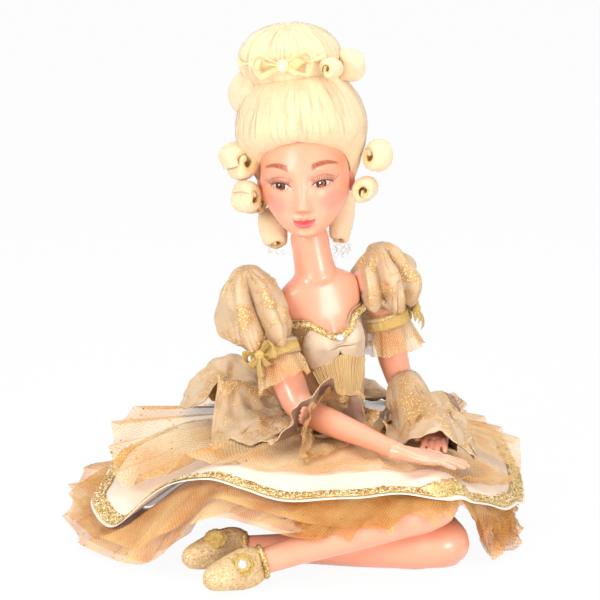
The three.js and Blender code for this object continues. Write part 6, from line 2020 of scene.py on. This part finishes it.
# Loose strands.
# Single mohair strands lie over the roll and the bun and stand off the ringlets.
# They are a tenth of a millimetre thick and curl a little.
loose_lines = []
loose_random = np.random.default_rng(77)
for grid, count, stand in ((roll_grid, 200, 0.3), (bun_points, 120, 0.3)):
    normals = grid_normals(grid, True)
    centre_of_grid = grid.mean((0, 1))
    sign = np.sign(((grid[40, 100] - centre_of_grid) * normals[40, 100]).sum())
    for _ in range(count):
        c, r0 = loose_random.integers(grid.shape[1]), loose_random.integers(4, 50)
        r1 = min(r0 + loose_random.integers(18, 40), grid.shape[0] - 3)
        rows_of = np.arange(r0, r1, 3)
        lift = stand + loose_random.uniform(0, 0.4)
        loose_lines.append(grid[rows_of, c] + sign * normals[rows_of, c] * lift)
for place, spread, drop, count in (((-20, 4, -39), 5.0, 3.0, 20), ((15, 8, -41), 6.0, 6.0, 56)):
    for _ in range(count):
        a, r = loose_random.uniform(0, 6.28), spread * loose_random.uniform(0.5, 1.1)
        root = np.array(place) + np.array([r * math.cos(a), r * math.sin(a), loose_random.uniform(-6, 14)])
        t = np.linspace(0, 1, 22)[:, None]
        curl_r = loose_random.uniform(0.5, 1.2)
        twist = a + t * loose_random.uniform(6, 14)
        fall = -t * drop * loose_random.uniform(0.4, 1)
        line = root + np.concatenate([curl_r * np.cos(twist), curl_r * np.sin(twist), fall], 1)
        loose_lines.append(on_head(*line.T))
loose_guides = guide_mesh("loose_guides", loose_lines)
loose = grown("loose", loose_guides, strands_tree, radius=0.0001, wander=0.0005, sides=3, seed=9)
loose_mesh = with_painted_shade(loose, np.zeros(len(loose.vertices)))
loose_mesh.uv_layers.new(name="cloth")
piece("loose_strands", loose_mesh, cream_wool, "head", [])


# Hair ribbon, bow and pearl.
# Cream satin ribbon wraps the foot of the bun in front, and its bow of two loops is sewn on with a pearl.
# The ribbon is cut to its width and heat-sealed.
cream_ribbon = new_material(
    "cream_ribbon",
    lambda web: {
        "Base Color": web.clouded(web.cloth(), 90.0, (255, 240, 188), (252, 226, 160)),
        "Normal": web.bump(weave(web, web.cloth(), 0.0003), 0.0001),
    },
    Roughness=0.28,
    Sheen_Weight=0.3,
)


def ribbon_band_grid():
    a = np.radians(np.linspace(200, 318, 120))[None, :]
    dz = np.linspace(-3, 3, 9)[:, None]
    out = 0.9 + 0.3 * np.cos(dz * 1.2) + 0.35 * np.sin(9 * a) * dz
    dz = dz * (0.55 + 0.45 * np.cos(9 * a))
    x = BUN_CENTRE[0] + (BUN_SIZE[0] + out) * np.cos(a)
    y = BUN_CENTRE[1] + (BUN_SIZE[1] + out) * np.sin(a)
    return on_head(x, y, BUN_CENTRE[2] + 1.5 + dz + 0.4 * np.sin(5 * a))


ribbon_mesh = surface_mesh("bun_ribbon", ribbon_band_grid()[::-1])
piece("bun_ribbon", ribbon_mesh, cream_ribbon, "head", ["hair_ribbon"], thickness=0.35)
hair_front, hair_across = -HEAD[:, 1], HEAD[:, 0]
hair_bow_at = on_head(BUN_CENTRE[0] - 1, BUN_CENTRE[1] - BUN_SIZE[1] - 4.5, BUN_CENTRE[2] + 1.5)
hair_bow = bow_mesh("bun_bow", hair_bow_at, hair_across, hair_front, 16, 6.5, tilt=0.5,
                    tails=((-15, 5, 1.0), (9, 6, 1.2)))
piece("bun_bow", hair_bow, cream_ribbon, "head", ["hair_bow"])
pearl_lustre = new_material(
    "pearl_lustre",
    lambda web: {"Base Color": web.clouded(web.place(), 400.0, (250, 244, 232), (238, 226, 208))},
    Roughness=0.18,
    Coat_Weight=0.6,
)
pearl_at = hair_bow_at + hair_front * 4.6
piece("bun_pearl", ball_mesh("bun_pearl", pearl_at, 1.6, 16), pearl_lustre, "head", ["hair_bow_pearl"])


# Slipper rosettes.
# A rosette of folded gold lace is sewn on each slipper over the toes, and the right one holds a cut stone.
# Its two rings of petals are loops of the same lace. A glitter cord edges each slipper round the ankle.
def rosette_mesh(name, centre, facing, radius):
    facing = unit(np.array(facing, float))
    across, up = beside(facing)
    meshes = []
    for ring, (count, reach, rise) in enumerate(((9, 1.0, 0.5), (7, 0.68, 1.5))):
        for k in range(count):
            a = 2 * math.pi * (k + 0.5 * ring) / count
            out_way = math.cos(a) * across + math.sin(a) * up
            side_way = -math.sin(a) * across + math.cos(a) * up
            t = np.linspace(0, 1, 9)[:, None]
            w = np.linspace(-1, 1, 7)[None, :]
            length = radius * reach
            half = radius * 0.42 * np.sin(math.pi * (0.12 + 0.8 * t)) ** 0.7
            lift = rise + 1.3 * np.sin(math.pi * t * 0.85) + 0.5 * (w**2) + 0.2 * np.cos(6 * w)
            grid = (
                centre
                + (length * t)[..., None] * out_way
                + (half * w)[..., None] * side_way
                + lift[..., None] * facing
            )
            meshes.append(thick_sheet(surface_mesh(name, grid), 0.35))
    return joined_mesh(name, *meshes)


for side in ("right", "left"):
    leg = leg_paths[side]
    heading = unit(leg[-1] - leg[-6])
    ring = leg[-1] - heading * 2.5 + 8.0 * round_way(np.linspace(0, 2 * math.pi, 61), *beside(heading))
    ring[:, 2] = np.maximum(ring[:, 2], 1.9)
    edging = tube_grid(ring, 1.3 + 0.35 * np.sin(np.arange(61) * 1.9), 12, normal=heading)
    edging = closed_mesh(side + "_lace_edging", edging)
    piece(side + "_lace_edging", edging, gold_glitter, "body", [])
rosette_facings = {"right": unit(np.array([0.1, -0.86, 0.5])), "left": unit(np.array([-0.1, -0.6, 0.8]))}
rosette_at = {}
for side, share, sunk in (("right", 0.2, 0.6), ("left", 0.26, 1.6)):
    over_toes = shoe_at[side] + toe_direction[side] * SHOE_LENGTH * share
    rosette_at[side] = over_toes + rosette_facings[side] * (SHOE_HEIGHT - sunk)
    made = rosette_mesh(side + "_lace_rosette", rosette_at[side], rosette_facings[side], 6.4)
    piece(side + "_lace_rosette", made, gold_ribbon, "body", [side + "_shoe_rosette"])
shoe_gem_at = rosette_at["right"] + rosette_facings["right"] * 2.4
slipper_gem = gem_mesh("slipper_gem", 2.5, 1.9, shoe_gem_at, rosette_facings["right"])
piece("slipper_gem", slipper_gem, cut_glass, "body", ["right_shoe_stone"])


# Cloth as it was cut.
# Each sheet's flat width and length in metres before it was gathered or draped, and its area if it isn't a rectangle.
# Strips are given along the edge that is gathered, and what is sewn on a sheet is named with it.
SEAT = ["cloth_body", "right_leg", "left_leg"]
CUTS = [
    ("petticoat_gathers", (0.56, 0.072), "gathered", SEAT, None, []),
    ("net_flounce", (1.05, 0.032), "gathered", ["right_leg", "left_leg"], None, []),
    ("net_flounce_upper", (1.0, 0.028), "gathered", ["net_flounce"], None, []),
    ("net_flounce_under", (1.1, 0.027), "gathered", ["right_leg", "left_leg"], None, []),
    ("satin_overskirt", (0.245, 0.235), "draped", ["petticoat_gathers"], 0.047,
     ["hem_glitter_band", "hem_glitter_flakes"]),
    ("flecked_overskirt", (0.5, 0.07), "gathered", ["satin_overskirt"], None, []),
    ("lap_net", (0.2, 0.068), "draped", ["satin_overskirt"], None, []),
    ("puffed_drape", (0.16, 0.075), "gathered", ["flecked_overskirt"], None, []),
    ("back_swag", (0.13, 0.06), "gathered", ["flecked_overskirt"], None, []),
    ("bodice_shell", (0.13, 0.062), "stretched", ["breastplate"], 0.0066, ["neckline_braid", "neckline_flakes"]),
    ("right_cup", (0.03, 0.026), "stretched", ["bodice_shell"], 0.0006, []),
    ("left_cup", (0.03, 0.026), "stretched", ["bodice_shell"], 0.0006, []),
    ("bodice_fan", (0.042, 0.034), "folded", ["bodice_shell"], None, []),
    ("bun_ribbon", (0.055, 0.01), "folded", ["mohair_bun"], 0.00025, ["bun_bow", "bun_pearl"]),
]
for label, sleeve, flounce, ruffle in (
    ("right", (0.18, 0.058), (0.12, 0.032), (0.12, 0.031)), ("left", (0.16, 0.055), (0.16, 0.06), (0.12, 0.049))
):
    arm = [label + "_arm_casting"]
    CUTS += [
        (label + "_puff_sleeve", sleeve, "gathered", arm, None, [label + "_mesh_band", label + "_ribbon_bow"]),
        (label + "_net_frill", (0.185, 0.012), "gathered", arm, None, []),
        (label + "_brocade_flounce", flounce, "gathered", arm, None, []),
        (label + "_net_ruffle", ruffle, "gathered", arm, None, []),
    ]
